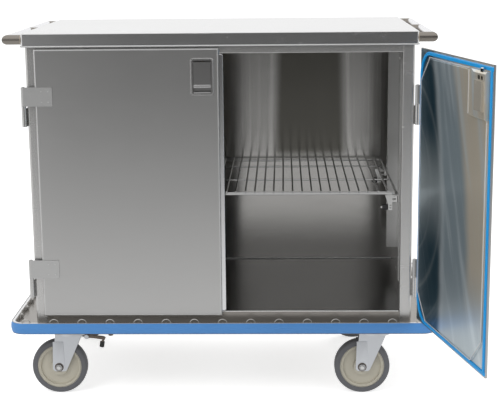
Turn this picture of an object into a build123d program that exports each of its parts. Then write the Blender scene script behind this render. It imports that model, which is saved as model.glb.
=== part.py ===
from build123d import *
import os
from math import cos, radians, sin, tan

# Sealed case cart, in millimetres: x to the right, y to the back, z up from the floor.
# The origin is on the floor at the centre of the cabinet. The doors' outer faces are flush with the top's apron.

# How far a cut runs past the face that it opens
past = 1.0

# Whole cart
top_width = 1036.0
top_depth = 605.0
top_height = 998.0
apron_height = 36.0
top_sheet = 2.0
top_corner_radius = 6.0
top_edge_radius = 3.0
hem_width = 7.5
side_overhang = 9.0
back_overhang = 15.5
wall = 2.0
deck_height = 210.0
deck_sheet = 3.0

# Door opening
post_face = 31.0
post_return = 25.0
post_corner_radius = 6.0
header_drop = 19.5
header_return = 25.0
header_nose_radius = 1.8
sill_rise = 34.0
sill_lip_radius = 3.5

# Doors, described closed; the right one stands open at rest
door_gap = 3.0
door_lap = 7.0
door_sill_lap = 9.0
door_top_gap = 5.0
door_sheet = 1.5
door_edge_depth = 6.5
door_edge_radius = 2.5
door_open_angle = 102.9
pan_inset = 18.0
pan_free_inset = 19.5
pan_height = 5.0
pan_corner_cut = 64.0
bevel_angle = 45.0
pan_rivet_pitch = 12.0
pan_rivet_inset = 13.0

# Door seals
gasket_width = 9.5
gasket_height = 3.5
gasket_inset = 5.0
gasket_free_inset = 3.5
gasket_corner_radius = 66.0
gasket_crest_radius = 2.0
seal_gap = 0.3
astragal_reach = 9.5
astragal_pad = 13.5
astragal_depth = 5.7
astragal_end_gap = 1.5
astragal_edge_gap = 1.5
astragal_tip_radius = 5.5
astragal_edge_radius = 2.2

# Door hinges
pivot_reach = 7.0
pivot_depth = 3.5
barrel_radius = 6.25
pin_radius = 3.0
pin_play = 0.05
strap_length = 77.0
strap_top_drop = 149.0
strap_low_rise = 106.0
strap_tall = 50.0
strap_corner_radius = 4.0
strap_rivet_inset = 11.0
strap_rivet_pitch = 18.0
pin_seat = 3.0
pin_head = 1.5
knuckle_tall = 54.0
knuckle_gap = 0.3
leaf_sheet = 2.5
leaf_length = 30.0
leaf_shortfall = 5.2
leaf_setback = 6.5
neck_lap = 4.0
leaf_rivet_inset = 9.0
rivet_radius = 3.0
rivet_rise = 0.5

# Paddle latches
bezel_left = 14.7
bezel_width = 61.0
bezel_top_gap = 25.0
bezel_tall = 98.0
bezel_rise = 1.5
bezel_border = 5.2
bezel_corner_radius = 8.0
bezel_chamfer = 0.9
cup_depth = 13.0
cup_sheet = 1.5
paddle_play = 0.8
paddle_sheet = 2.5
paddle_rise = 1.0
paddle_foot = 24.0
paddle_top_play = 4.0
paddle_bead_radius = 1.8
paddle_bead_proud = 0.8
ridge_up = 7.0
ridge_tall = 2.0
ridge_rise = 0.5
paddle_swing = 35.0
paddle_pin_radius = 2.0
paddle_pin_depth = 6.0
paddle_pin_drop = 8.5
paddle_ear = 3.0
paddle_ear_radius = 4.2
paddle_arm_length = 10.2
paddle_arm_thick = 3.0
paddle_arm_width = 6.0
arm_slot_play = 1.5
arm_slot_below = 10.0
arm_slot_above = 1.0
guide_low = 12.0
guide_high = 22.0
guide_tall = 6.0
guide_side = 2.0
guide_back = 1.0
bolt_width = 14.0
bolt_thick = 3.5
bolt_foot = 28.0
bolt_reach = 5.5
bolt_play = 0.3
bolt_window = 6.5
bolt_window_play = 0.8
bolt_bevel = 2.4
bolt_stand_off = 1.0
strike_play = 1.0
boss_free_edge = 16.5
boss_hinge_edge = 160.0
boss_slope = 79.0
boss_foot = 3.0
boss_gap = 2.5
boss_height = 14.3
boss_end_bevel = 5.0
boss_exit_drop = 8.0
boss_slot_length = 14.0
boss_slot_width = 10.0
boss_slot_offset = 9.0
boss_slot_up = 8.0
boss_slot_cut = 3.0
cover_left = 25.0
cover_width = 52.0
cover_foot = 16.0
cover_tall = 68.0
cover_sheet = 1.5
cover_fold = 5.5
cover_rivet_left = 9.0
cover_rivet_inset = 7.0

# Bumper and its channel round the base
bumper_side_reach = 61.0
bumper_front_reach = 32.5
bumper_drop = 16.4
bumper_tall = 28.4
bumper_bulge = 2.6
bumper_corner_radius = 42.0
channel_depth = 9.0
channel_sheet = 2.0
fixing_pitch = 76.2
fixing_height = 216.0
nut_radius = 5.0
nut_tall = 4.5
fixing_bolt_radius = 2.5
fixing_bolt_end = 1.5
clip_base = 28.0
clip_top = 12.0
clip_tall = 10.0
clip_sheet = 1.2

# Frame under the deck
member_width = 124.0
member_sheet = 3.0

# Casters
caster_end_inset = 160.0
caster_side_inset = 88.5
caster_trail = 38.5
wheel_radius = 76.2
tyre_width = 30.0
tyre_edge_radius = 7.0
hub_radius = 61.0
hub_width = 26.0
hub_web = 12.0
hub_rim = 8.0
hub_boss_radius = 23.0
fork_gap = 34.0
fork_sheet = 3.0
axle_radius = 6.0
axle_play = 0.06
axle_nut_radius = 10.0
axle_nut_tall = 6.0
wheel_side_gap = 0.3
plate_length = 116.0
plate_width = 102.0
plate_sheet = 4.0
race_radius = 42.0
race_tall = 5.4
swivel_gap = 0.4
crown_radius = 40.0
crown_tall = 13.8
king_pin_radius = 8.0
king_nut_radius = 12.0
king_nut_tall = 7.0
plate_bolt_radius = 7.5
plate_bolt_tall = 4.6
plate_bolt_inset_x = 12.0
plate_bolt_inset_y = 11.0
plate_corner_radius = 8.0
plug_offset = 66.0
plug_forward = 10.0
plug_drop = 10.0
plug_radius = 6.5
bridge_rear = 46.0
bridge_front = 14.0
bridge_step = 2.0
leg_below_axle = 12.0
leg_foot_rear = 57.0
leg_foot_front = 19.0
leg_foot_radius = 9.0
leg_knee = 27.0
leg_shoulder = 33.0

# Swivel lock lever on the front left caster
lock_side = 48.5
lock_forward = 64.0
lock_drop = 9.6
lock_pin_radius = 4.0
lock_boss_radius = 7.0
lock_arm_reach = 45.0
lock_arm_drop = 5.0
lock_arm_wide = 9.0
lock_grip_drop = 25.0
lock_grip_radius = 6.5
lock_gap = 0.3
lock_boss_half = 5.0
lock_root_above = 5.0
lock_root_below = 2.0
lock_elbow_inset = 2.0
lock_elbow_drop = 3.0
lock_foot_left = 6.0
lock_foot_right = 1.0
lock_heel = 6.0
lock_shoulder = 2.0
lock_shoulder_rise = 4.0
lock_lug_left = 14.0
lock_lug_lap = 1.0
lock_hanger_half = 8.0
lock_hanger_sheet = 3.0
lock_pin_back = 6.0
lock_head_reach = 8.0
lock_head_lip = 2.0
lock_grip_top = 9.0
lock_grip_lean = 2.5
lock_rib_count = 4
lock_rib_first = 0.15
lock_rib_step = 0.235
lock_rib_half = 1.2
lock_rib_rise = 1.0
lock_rib_lean = 0.3

# Push handles on both sides of the top
handle_radius = 12.7
handle_sheet = 2.0
handle_reach = 35.0
handle_drop = 16.5
handle_end_inset = 1.5

# Shelf standards, clips and the wire shelf
standard_depth = 30.0
standard_width = 20.0
standard_foot_gap = 73.0
standard_head_gap = 7.5
standard_front = 50.0
standard_rear_gap = 127.5
slot_pitch = 25.4
slot_tall = 14.0
slot_width = 6.0
shelf_rise = 319.0
shelf_rail_radius = 3.2
shelf_front = 39.0
shelf_back_gap = 22.5
shelf_side_gap = 9.0
shelf_side_corner = 12.0
wire_radius = 2.5
wire_pitch = 25.4
wire_overhang = 3.0
front_wire_setback = 2.0
middle_wire_depth = 238.0
rear_wire_setback = 11.0
shelf_gap = 0.3
clip_plate_sheet = 2.0
hook_rise = 35.0
hook_drop = 23.0
knob_radius = 8.0
knob_length = 16.0
knob_drop = 36.0
knob_root_drop = 1.5
lobe_count = 6
lobe_radius = 3.0
lobe_start = 2.0
lobe_end = 1.0
clip_ledge = 13.0
clip_forward = 6.0
clip_bridge = 20.0
arm_left = 17.0
arm_right = 7.0
arm_foot_left = 9.0
arm_foot_right = 3.0
arm_drop = 22.0
clip_tab_left = 8.0
clip_tab_right = 3.0
clip_tab_below = 7.0
clip_slot_below = 1.0
clip_slot_above = 6.0
clip_slot_left = 5.0
clip_slot_right = 1.0
clip_slot_half = 1.5
lug_sheet = 2.0
lug_half = 5.0
lug_back = 4.0
stud_radius = 3.0
stud_end = 4.0
stud_stand_off = 3.2
loop_root = 1.0
loop_reach = 15.0
loop_high = 6.0
loop_low = 17.0

# Places that follow from the sizes above
half_width = top_width / 2 - side_overhang
face_y = -top_depth / 2
back_y = top_depth / 2 - back_overhang
apron_bottom = top_height - apron_height
roof_under = top_height - top_sheet
header_bottom = apron_bottom - header_drop
opening_half_width = half_width - post_face
sill_height = deck_height + sill_rise
seal_y = face_y + door_edge_depth + gasket_height + seal_gap
post_back_y = seal_y + post_return

door_hinge_edge = opening_half_width + door_lap
door_bottom = sill_height - door_sill_lap
door_top = apron_bottom - door_top_gap
free_edge = door_gap / 2
pan_y = face_y + door_edge_depth
pan_top_y = pan_y + pan_height

pivot_x = half_width + pivot_reach
pivot_y = face_y + pivot_depth
strap_sheet = barrel_radius - pivot_depth
strap_heights = (door_top - strap_top_drop, door_bottom + strap_low_rise)

bezel_bottom = door_top - bezel_top_gap - bezel_tall
cup_left = bezel_left + bezel_border
cup_right = bezel_left + bezel_width - bezel_border
cup_bottom = bezel_bottom + bezel_border
cup_top = bezel_bottom + bezel_tall - bezel_border
paddle_bottom = bezel_bottom + paddle_foot
paddle_pin_z = cup_top - cup_sheet - paddle_pin_drop
paddle_pin_y = face_y + paddle_pin_depth
bolt_x = (cup_left + cup_right) / 2
bolt_y = face_y + cup_depth + bolt_stand_off
bolt_bottom = bezel_bottom + bolt_foot
bolt_top = header_bottom + bolt_reach
boss_bottom = bezel_bottom - boss_foot
boss_top = header_bottom - boss_gap
boss_top_y = pan_y + boss_height
cover_bottom = bezel_bottom + cover_foot

bumper_length = top_width + 2 * bumper_side_reach
bumper_depth = top_depth + 2 * bumper_front_reach
bumper_bottom = deck_height - bumper_drop
bumper_top = bumper_bottom + bumper_tall
channel_outer = bumper_bulge
web_inner = channel_outer + channel_depth
deck_under = deck_height - deck_sheet

caster_x = bumper_length / 2 - caster_end_inset
caster_y = bumper_depth / 2 - caster_side_inset
plate_top = bumper_bottom
plate_bottom = plate_top - plate_sheet
race_bottom = plate_bottom - race_tall
crown_top = race_bottom - swivel_gap
crown_bottom = crown_top - crown_tall
lock_x = lock_side - caster_x
lock_y = -caster_y - lock_forward
lock_height = plate_bottom - lock_drop
plug_x = lock_x + plug_offset

handle_x = top_width / 2 + handle_reach
handle_z = top_height - handle_drop

standard_bottom = sill_height + standard_foot_gap
standard_top = header_bottom - standard_head_gap
standard_rear = back_y - wall - standard_rear_gap - standard_width - face_y
shelf_rail_z = sill_height + shelf_rise
shelf_back = back_y - wall - shelf_back_gap - face_y
shelf_side = half_width - wall - standard_depth - shelf_side_gap
cross_wire_depths = (standard_front + front_wire_setback, middle_wire_depth, standard_rear + rear_wire_setback)
clip_seat = shelf_rail_z - shelf_rail_radius - shelf_gap
clip_x = shelf_side - clip_ledge
knob_z = clip_seat - knob_drop


def block(x0, x1, y0, y1, z0, z1):
    """A box between two opposite corners."""
    centre = Pos((x0 + x1) / 2, (y0 + y1) / 2, (z0 + z1) / 2)
    return centre * Box(x1 - x0, y1 - y0, z1 - z0)


def rod(start, end, radius):
    """A round bar from one point to another."""
    line = Edge.make_line(start, end)
    return extrude(Plane(origin=start, z_dir=line % 0) * Circle(radius), amount=line.length)


def front_outline(points):
    """A polygon seen from the front, from (x, z) points."""
    return Polygon(*points, align=None)


def to_back(outline, y, amount, taper=0.0):
    """A shape drawn in x and z, placed at y and thickened towards the back."""
    plane = Plane(origin=(0, y, 0), x_dir=(1, 0, 0), z_dir=(0, -1, 0))
    return extrude(plane * outline, amount=amount, dir=(0, 1, 0), taper=taper)


def to_right(points, x0, x1):
    """A polygon of (y, z) points, thickened from x0 to x1."""
    plane = Plane(origin=(x0, 0, 0), x_dir=(0, 1, 0), z_dir=(1, 0, 0))
    return extrude(plane * Polygon(*points, align=None), amount=x1 - x0, dir=(1, 0, 0))


def upward(outline, z0, z1):
    """A shape drawn in x and y, thickened from z0 to z1."""
    return extrude(Pos(0, 0, z0) * outline, amount=z1 - z0, dir=(0, 0, 1))


def rivet(x, y, z, direction):
    """A low rivet head on a face."""
    return extrude(Plane(origin=(x, y, z), z_dir=direction) * Circle(rivet_radius), amount=rivet_rise)


def mirrored(shape):
    """The same piece on the other side of the cart."""
    return mirror(shape, about=Plane.YZ)


def both_sides(shape):
    return [shape, mirrored(shape)]


def opened(shape):
    """A piece of the right door, turned to where the door stands at rest."""
    return Pos(pivot_x, pivot_y, 0) * Rot(0, 0, door_open_angle) * Pos(-pivot_x, -pivot_y, 0) * shape


def top_panel():
    width, depth = top_width, top_depth
    shell = block(-width / 2, width / 2, -depth / 2, depth / 2, apron_bottom, top_height)
    shell = fillet(shell.edges().filter_by(Axis.Z), top_corner_radius)
    shell = fillet(shell.faces().sort_by(Axis.Z)[-1].edges(), top_edge_radius)
    inner_x, inner_y = width / 2 - top_sheet, depth / 2 - top_sheet
    hollow = block(-inner_x, inner_x, -inner_y, inner_y, apron_bottom + top_sheet, roof_under)
    mouth_x, mouth_y = width / 2 - hem_width, depth / 2 - hem_width
    mouth = block(-mouth_x, mouth_x, -mouth_y, mouth_y, apron_bottom - past,
                  apron_bottom + top_sheet + past)
    return shell - hollow - mouth


def front_post():
    """The right post: a channel open to the back, from the deck to the roof."""
    outer = block(opening_half_width, half_width, seal_y, post_back_y, deck_height, roof_under)
    upright = outer.edges().filter_by(Axis.Z)
    outer = fillet(upright.group_by(Axis.Y)[0].sort_by(Axis.X)[-1:], post_corner_radius)
    upright = outer.edges().filter_by(Axis.Z)
    outer = fillet(upright.group_by(Axis.Y)[0].sort_by(Axis.X)[:1], wall)
    inner = block(opening_half_width + wall, half_width - wall, seal_y + wall, post_back_y, deck_height, roof_under)
    return outer - inner


def side_panel():
    return block(half_width - wall, half_width, post_back_y, back_y, deck_height, roof_under)


def back_panel():
    inner = half_width - wall
    return block(-inner, inner, back_y - wall, back_y, deck_height, roof_under)


def header():
    width = opening_half_width
    face = block(-width, width, seal_y, seal_y + wall, header_bottom, roof_under)
    shelf = block(-width, width, seal_y, seal_y + header_return, header_bottom, header_bottom + wall)
    shape = face + shelf
    nose = shape.edges().filter_by(Axis.X).group_by(Axis.Z)[0].sort_by(Axis.Y)[:1]
    shape = fillet(nose, header_nose_radius)
    for side in (-1, 1):
        slot_x = bolt_width / 2 + strike_play
        slot_y0 = bolt_y - strike_play
        slot_y1 = bolt_y + bolt_thick + strike_play
        x = side * bolt_x
        shape -= block(x - slot_x, x + slot_x, slot_y0, slot_y1, header_bottom - past, header_bottom + wall + past)
    return shape


def sill():
    """The front strip below the doors, with a rolled lip along its top."""
    width = opening_half_width
    lip_z = sill_height - sill_lip_radius
    face = block(-width, width, seal_y, seal_y + wall, deck_height, lip_z)
    lip = rod((-width, seal_y + sill_lip_radius, lip_z), (width, seal_y + sill_lip_radius, lip_z), sill_lip_radius)
    bore = sill_lip_radius - wall
    hole = rod((-width, seal_y + sill_lip_radius, lip_z), (width, seal_y + sill_lip_radius, lip_z), bore)
    return face + lip - hole


def cabinet_floor():
    inner = half_width - wall
    lip_back = seal_y + 2 * sill_lip_radius
    main = block(-inner, inner, post_back_y, back_y - wall, sill_height - wall, sill_height)
    width = opening_half_width
    front = block(-width, width, lip_back, post_back_y, sill_height - wall, sill_height)
    lap = block(-width, width, lip_back - sill_lip_radius, lip_back, sill_height - wall, sill_height)
    lip_z = sill_height - sill_lip_radius
    lip_y = seal_y + sill_lip_radius
    lip = rod((-width, lip_y, lip_z), (width, lip_y, lip_z), sill_lip_radius)
    return main + front + (lap - lip)


def ring_path(inset):
    """The plan of the base's edge, a rounded rectangle this far inside the bumper's face."""
    length, depth = bumper_length - 2 * inset, bumper_depth - 2 * inset
    return RectangleRounded(length, depth, bumper_corner_radius - inset)


def ring(outer_inset, inner_inset, z0, z1):
    band = ring_path(outer_inset) - ring_path(inner_inset)
    return upward(band, z0, z1)


def bumper():
    """A soft strip held in the channel, with a bulged face."""
    side = bumper_depth / 2
    middle = bumper_bottom + bumper_tall / 2
    back = web_inner - channel_sheet
    low, high = bumper_bottom + channel_sheet, bumper_top - channel_sheet
    plane = Plane(origin=(0, -side, 0), x_dir=(0, 1, 0), z_dir=(-1, 0, 0))
    lower, nose, upper = (bumper_bulge, -bumper_bottom), (0, -middle), (bumper_bulge, -bumper_top)
    face = ThreePointArc(lower, nose, upper)
    rest = Polyline(upper, (bumper_bulge, -high), (back, -high), (back, -low), (bumper_bulge, -low), lower)
    section = plane * make_face([face.edge()] + rest.edges())
    return sweep(section, path=ring_path(0).wire())


def bumper_channel():
    web = ring(web_inner - channel_sheet, web_inner, bumper_bottom, bumper_top)
    low = ring(channel_outer, web_inner - channel_sheet, bumper_bottom, bumper_bottom + channel_sheet)
    high = ring(channel_outer, web_inner - channel_sheet, bumper_top - channel_sheet, bumper_top)
    return web + low + high


def base_deck():
    """The deck plate with a rim turned up inside the channel."""
    plate = upward(ring_path(web_inner), deck_under, deck_height)
    rim = ring(web_inner, web_inner + wall, deck_height, bumper_top - wall)
    return plate + rim


def fixing_places():
    """Where the bumper's fixings stand: x, y and the turn that makes each one face inward."""
    inner_x = bumper_length / 2 - web_inner - wall
    inner_y = bumper_depth / 2 - web_inner - wall
    along = int((inner_x - bumper_corner_radius) // fixing_pitch)
    across = int((inner_y - bumper_corner_radius) // fixing_pitch)
    places = []
    for step in range(-along, along + 1):
        places.append((step * fixing_pitch, -inner_y, 0))
        places.append((step * fixing_pitch, inner_y, 180))
    for step in range(-across, across + 1):
        places.append((inner_x, step * fixing_pitch, 90))
        places.append((-inner_x, step * fixing_pitch, -90))
    return places


def bumper_fixing():
    """A saddle clip with its nut, seen from inside the rim; it faces +y at its own origin."""
    foot = deck_height
    outline = front_outline([(-clip_base / 2, foot), (clip_base / 2, foot),
                             (clip_top / 2, foot + clip_tall), (-clip_top / 2, foot + clip_tall)])
    saddle = to_back(outline, 0, clip_sheet)
    nut = to_back(Pos(0, fixing_height) * RegularPolygon(nut_radius, 6), clip_sheet, nut_tall)
    bolt_end = clip_sheet + nut_tall + fixing_bolt_end
    end = rod((0, clip_sheet, fixing_height), (0, bolt_end, fixing_height), fixing_bolt_radius)
    return saddle + nut + end


def bumper_fixings():
    one = bumper_fixing()
    return [Pos(x, y, 0) * Rot(0, 0, turn) * one for x, y, turn in fixing_places()]


def cross_members():
    """Three channels under the deck; the outer two carry the casters."""
    reach = bumper_depth / 2 - web_inner
    members = []
    for x in (-caster_x, 0, caster_x):
        outer = block(x - member_width / 2, x + member_width / 2, -reach, reach, plate_top, deck_under)
        inner_x = member_width / 2 - member_sheet
        hollow = block(x - inner_x, x + inner_x, -reach, reach, plate_top + member_sheet, deck_under)
        members.append(outer - hollow)
    return members


def door_skin():
    """The outer sheet of a door, folded back round its edges."""
    shell = block(free_edge, door_hinge_edge, face_y, pan_y, door_bottom, door_top)
    shell = fillet(shell.faces().sort_by(Axis.Y)[0].edges(), door_edge_radius)
    inner_x0, inner_x1 = free_edge + door_sheet, door_hinge_edge - door_sheet
    inner_z0, inner_z1 = door_bottom + door_sheet, door_top - door_sheet
    hollow = block(inner_x0, inner_x1, face_y + door_sheet, pan_y, inner_z0, inner_z1)
    hole = block(cup_left, cup_right, face_y - past, face_y + door_sheet + past, cup_bottom, cup_top)
    return shell - hollow - hole


def pan_outline():
    """The raised part of the inner sheet, with three corners cut across; the latch has the fourth."""
    x0 = free_edge + pan_free_inset
    x1 = door_hinge_edge - pan_inset
    z0, z1 = door_bottom + pan_inset, door_top - pan_inset
    cut = pan_corner_cut
    return front_outline([(x0, z0 + cut), (x0 + cut, z0), (x1 - cut, z0), (x1, z0 + cut),
                          (x1, z1 - cut), (x1 - cut, z1), (x0, z1)])


def boss_block(shrink):
    """The space for the latch behind the inner sheet; shrink makes its hollow."""
    foot_y = pan_y - shrink
    top_y = boss_top_y - shrink
    lean = boss_height * tan(radians(boss_slope))
    x0, x1 = boss_free_edge + shrink, boss_hinge_edge - shrink
    plan = Polygon((x0, foot_y), (x1, foot_y), (x1 - lean, top_y), (x0, top_y), align=None)
    z0, z1 = boss_bottom + shrink, boss_top - shrink
    shape = upward(plan, z0, z1)
    ends = shape.faces().sort_by(Axis.Y)[-1].edges().filter_by(Axis.X)
    return chamfer(ends, boss_end_bevel)


def door_pan():
    """The inner sheet: a flat border, a raised middle and the boss over the latch."""
    border = block(free_edge + door_sheet, door_hinge_edge - door_sheet, pan_y - door_sheet, pan_y,
                   door_bottom + door_sheet, door_top - door_sheet)
    raised = to_back(pan_outline(), pan_y, pan_height, bevel_angle)
    hollow = Pos(0, -door_sheet, 0) * raised
    pan = (border + raised + boss_block(0)) - hollow - boss_block(door_sheet)
    exit_x = bolt_width / 2 + strike_play
    pan -= block(bolt_x - exit_x, bolt_x + exit_x, bolt_y - bolt_play, bolt_y + bolt_thick + bolt_play,
                 boss_top - boss_exit_drop, boss_top + past)
    slot = to_back(SlotOverall(boss_slot_length, boss_slot_width), boss_top_y - boss_slot_cut, 2 * boss_slot_cut)
    for x in (bolt_x - boss_slot_offset, bolt_x + boss_slot_offset):
        pan -= Pos(x, 0, cover_bottom + cover_tall + boss_slot_up) * slot
    cut_middle = pan_inset + pan_corner_cut / 2 + pan_rivet_inset
    for step in (-1, 0, 1):
        x = door_hinge_edge - cut_middle + pan_rivet_pitch * step
        z = door_top - cut_middle - pan_rivet_pitch * step
        pan += rivet(x, pan_top_y, z, (0, 1, 0))
    return pan


def gasket(with_free_side):
    """The seal round the inner border, bulged towards the cabinet."""
    x0, x1 = free_edge, door_hinge_edge - gasket_inset
    z0, z1 = door_bottom + gasket_inset, door_top - gasket_inset
    radius = gasket_corner_radius
    outer = front_outline([(x0, z0), (x1, z0), (x1, z1), (x0, z1)])
    outer = fillet(outer.vertices().sort_by(Axis.X)[-2:], radius)
    w = gasket_width
    start = x0 - past
    inner = front_outline([(start, z0 + w), (x1 - w, z0 + w), (x1 - w, z1 - w), (start, z1 - w)])
    inner = fillet(inner.vertices().sort_by(Axis.X)[-2:], radius - w)
    loop = outer - inner
    if with_free_side:
        free_x = free_edge + gasket_free_inset
        loop += front_outline([(free_x, z0), (free_x + w, z0), (free_x + w, z1), (free_x, z1)])
    strip = to_back(loop, pan_y, gasket_height)
    crest = strip.faces().sort_by(Axis.Y)[-1].edges()
    return fillet(crest, gasket_crest_radius)


def astragal():
    """The meeting strip on the left door, behind the free edge of the right one."""
    z0 = sill_height + astragal_end_gap
    z1 = header_bottom - astragal_end_gap
    front = seal_y
    back = seal_y + astragal_depth
    pad_x = -free_edge - astragal_edge_gap
    pad_z0 = door_bottom + gasket_inset + gasket_width + astragal_end_gap
    pad = block(pad_x - astragal_pad, pad_x, pan_y, back, pad_z0, z1)
    nose = block(pad_x, astragal_reach, front, back, z0, z1)
    nose = fillet(nose.edges().filter_by(Axis.Y).group_by(Axis.X)[-1], astragal_tip_radius)
    rim = nose.faces().sort_by(Axis.Y)[0].edges().sort_by(Axis.X)[1:]
    nose = fillet(rim, astragal_edge_radius)
    return pad + nose


def hinge_strap(bottom):
    """The moving leaf of a hinge, on the door's outer face."""
    top = bottom + strap_tall
    start = pivot_x - strap_length
    plate = block(start, pivot_x, face_y - strap_sheet, face_y, bottom, top)
    plate = fillet(plate.edges().filter_by(Axis.Y).group_by(Axis.X)[0], strap_corner_radius)
    barrel = rod((pivot_x, pivot_y, bottom), (pivot_x, pivot_y, top), barrel_radius)
    bore = rod((pivot_x, pivot_y, bottom - past), (pivot_x, pivot_y, top + past), pin_radius + pin_play)
    strap = plate + barrel - bore
    near = start + strap_rivet_inset
    for x in (near, near + strap_rivet_pitch):
        for z in (bottom + strap_rivet_inset, top - strap_rivet_inset):
            strap += rivet(x, face_y - strap_sheet, z, (0, -1, 0))
    return strap


def fixed_knuckle(strap_bottom):
    """The fixed leaf of a hinge, on the side of the cabinet, with the barrel that holds the pin."""
    top = strap_bottom - knuckle_gap
    bottom = top - knuckle_tall
    leaf_y = seal_y + leaf_setback
    leaf = block(half_width, half_width + leaf_sheet, leaf_y, leaf_y + leaf_length, bottom, top - leaf_shortfall)
    neck_x = pivot_x - barrel_radius
    neck = block(neck_x, neck_x + leaf_sheet, pivot_y, leaf_y + neck_lap, bottom, top - leaf_shortfall)
    barrel = rod((pivot_x, pivot_y, bottom), (pivot_x, pivot_y, top), barrel_radius)
    bore = rod((pivot_x, pivot_y, bottom + pin_seat), (pivot_x, pivot_y, top + past), pin_radius)
    knuckle = leaf + neck + barrel - bore
    for step in (1, 2):
        z = bottom + step * (knuckle_tall - leaf_shortfall) / 3
        knuckle += rivet(half_width + leaf_sheet, leaf_y + leaf_length - leaf_rivet_inset, z, (1, 0, 0))
    return knuckle


def hinge_pin(strap_bottom):
    bottom = strap_bottom - knuckle_gap - knuckle_tall + pin_seat
    top = strap_bottom + strap_tall + pin_head
    return rod((pivot_x, pivot_y, bottom), (pivot_x, pivot_y, top), pin_radius)


def latch_housing():
    """The bezel and cup of a paddle latch, with the paddle's pin and the bolt's guides."""
    x0, x1 = bezel_left, bezel_left + bezel_width
    z0, z1 = bezel_bottom, bezel_bottom + bezel_tall
    bezel = block(x0, x1, face_y - bezel_rise, face_y, z0, z1)
    bezel = fillet(bezel.edges().filter_by(Axis.Y), bezel_corner_radius)
    bezel = chamfer(bezel.faces().sort_by(Axis.Y)[0].edges(), bezel_chamfer)
    cup_back = face_y + cup_depth
    cup = block(cup_left, cup_right, face_y, cup_back, cup_bottom, cup_top)
    inner_z0, inner_z1 = cup_bottom + cup_sheet, cup_top - cup_sheet
    inside = block(cup_left + cup_sheet, cup_right - cup_sheet, face_y - bezel_rise, cup_back - cup_sheet,
                   inner_z0, inner_z1)
    slot_x = paddle_arm_width / 2 + arm_slot_play
    slot = block(bolt_x - slot_x, bolt_x + slot_x, cup_back - cup_sheet, cup_back,
                 paddle_pin_z - arm_slot_below, inner_z1 - arm_slot_above)
    pin_ends = (cup_left, paddle_pin_y, paddle_pin_z), (cup_right, paddle_pin_y, paddle_pin_z)
    housing = (bezel + cup - inside - slot) + rod(*pin_ends, paddle_pin_radius)
    side = bolt_width / 2 + bolt_play
    outer = side + guide_side
    near, far = bolt_y - bolt_play, bolt_y + bolt_thick + bolt_play
    for z in (bolt_bottom + guide_low, paddle_pin_z - guide_high):
        guide = block(bolt_x - outer, bolt_x + outer, cup_back, far + guide_back, z, z + guide_tall)
        gap = block(bolt_x - side, bolt_x + side, near, far, z, z + guide_tall)
        housing += guide - gap
    return housing


def paddle():
    """The handle flap: it hangs from its pin, and its arm draws the bolt down."""
    x0 = cup_left + cup_sheet + paddle_play
    x1 = cup_right - cup_sheet - paddle_play
    top = cup_top - cup_sheet - paddle_top_play
    front = face_y - paddle_rise
    back = front + paddle_sheet
    flap = block(x0, x1, front, back, paddle_bottom, top)
    bead_y = front + paddle_bead_radius - paddle_bead_proud
    bead = rod((x0, bead_y, paddle_bottom), (x1, bead_y, paddle_bottom), paddle_bead_radius)
    ridge_z = paddle_bottom + ridge_up
    ridge = block(x0, x1, front - ridge_rise, front, ridge_z, ridge_z + ridge_tall)
    pin = (paddle_pin_y, paddle_pin_z)
    low, high = paddle_pin_z - paddle_ear_radius, paddle_pin_z + paddle_ear_radius
    shape = flap + bead + ridge
    ears = [(x0, x0 + paddle_ear), (x1 - paddle_ear, x1)]
    ears.append((bolt_x - paddle_arm_width / 2, bolt_x + paddle_arm_width / 2))
    for ear_x0, ear_x1 in ears:
        shape += block(ear_x0, ear_x1, back, paddle_pin_y, low, high)
        shape += rod((ear_x0, *pin), (ear_x1, *pin), paddle_ear_radius)
    rise = radians(paddle_swing / 2)
    tip_y = paddle_pin_y + paddle_arm_length * cos(rise)
    tip_z = paddle_pin_z + paddle_arm_length * sin(rise)
    off_y, off_z = sin(rise) * paddle_arm_thick / 2, cos(rise) * paddle_arm_thick / 2
    arm = [(paddle_pin_y + off_y, paddle_pin_z - off_z), (tip_y + off_y, tip_z - off_z),
           (tip_y - off_y, tip_z + off_z), (paddle_pin_y - off_y, paddle_pin_z + off_z)]
    shape += to_right(arm, bolt_x - paddle_arm_width / 2, bolt_x + paddle_arm_width / 2)
    bore = paddle_pin_radius + pin_play
    return shape - rod((x0 - past, *pin), (x1 + past, *pin), bore)


def latch_bolt():
    """The flat bolt behind the cup; its bevelled end rises into the header."""
    y0, y1 = bolt_y, bolt_y + bolt_thick
    shape = block(bolt_x - bolt_width / 2, bolt_x + bolt_width / 2, y0, y1, bolt_bottom, bolt_top)
    nose = shape.edges().filter_by(Axis.X).group_by(Axis.Z)[-1].sort_by(Axis.Y)[-1:]
    shape = chamfer(nose, bolt_bevel)
    tip_z = paddle_pin_z + paddle_arm_length * sin(radians(paddle_swing / 2))
    side = paddle_arm_width / 2 + bolt_window_play
    return shape - block(bolt_x - side, bolt_x + side, y0, y1, tip_z - bolt_window / 2, tip_z + bolt_window / 2)


def latch_cover():
    """The plate over the latch on the inner side, with a fold along its free edge."""
    x0, x1 = cover_left, cover_left + cover_width
    z0, z1 = cover_bottom, cover_bottom + cover_tall
    plate = block(x0, x1, boss_top_y, boss_top_y + cover_sheet, z0, z1)
    fold = block(x0, x0 + cover_sheet, boss_top_y, boss_top_y + cover_fold, z0, z1)
    shape = plate + fold
    for x in (x0 + cover_rivet_left, x1 - cover_rivet_inset):
        for z in (z0 + cover_rivet_inset, z1 - cover_rivet_inset):
            shape += rivet(x, boss_top_y + cover_sheet, z, (0, 1, 0))
    return shape


def caster_places():
    return [("front_left", -1, -1), ("front_right", 1, -1), ("rear_left", -1, 1), ("rear_right", 1, 1)]


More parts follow.
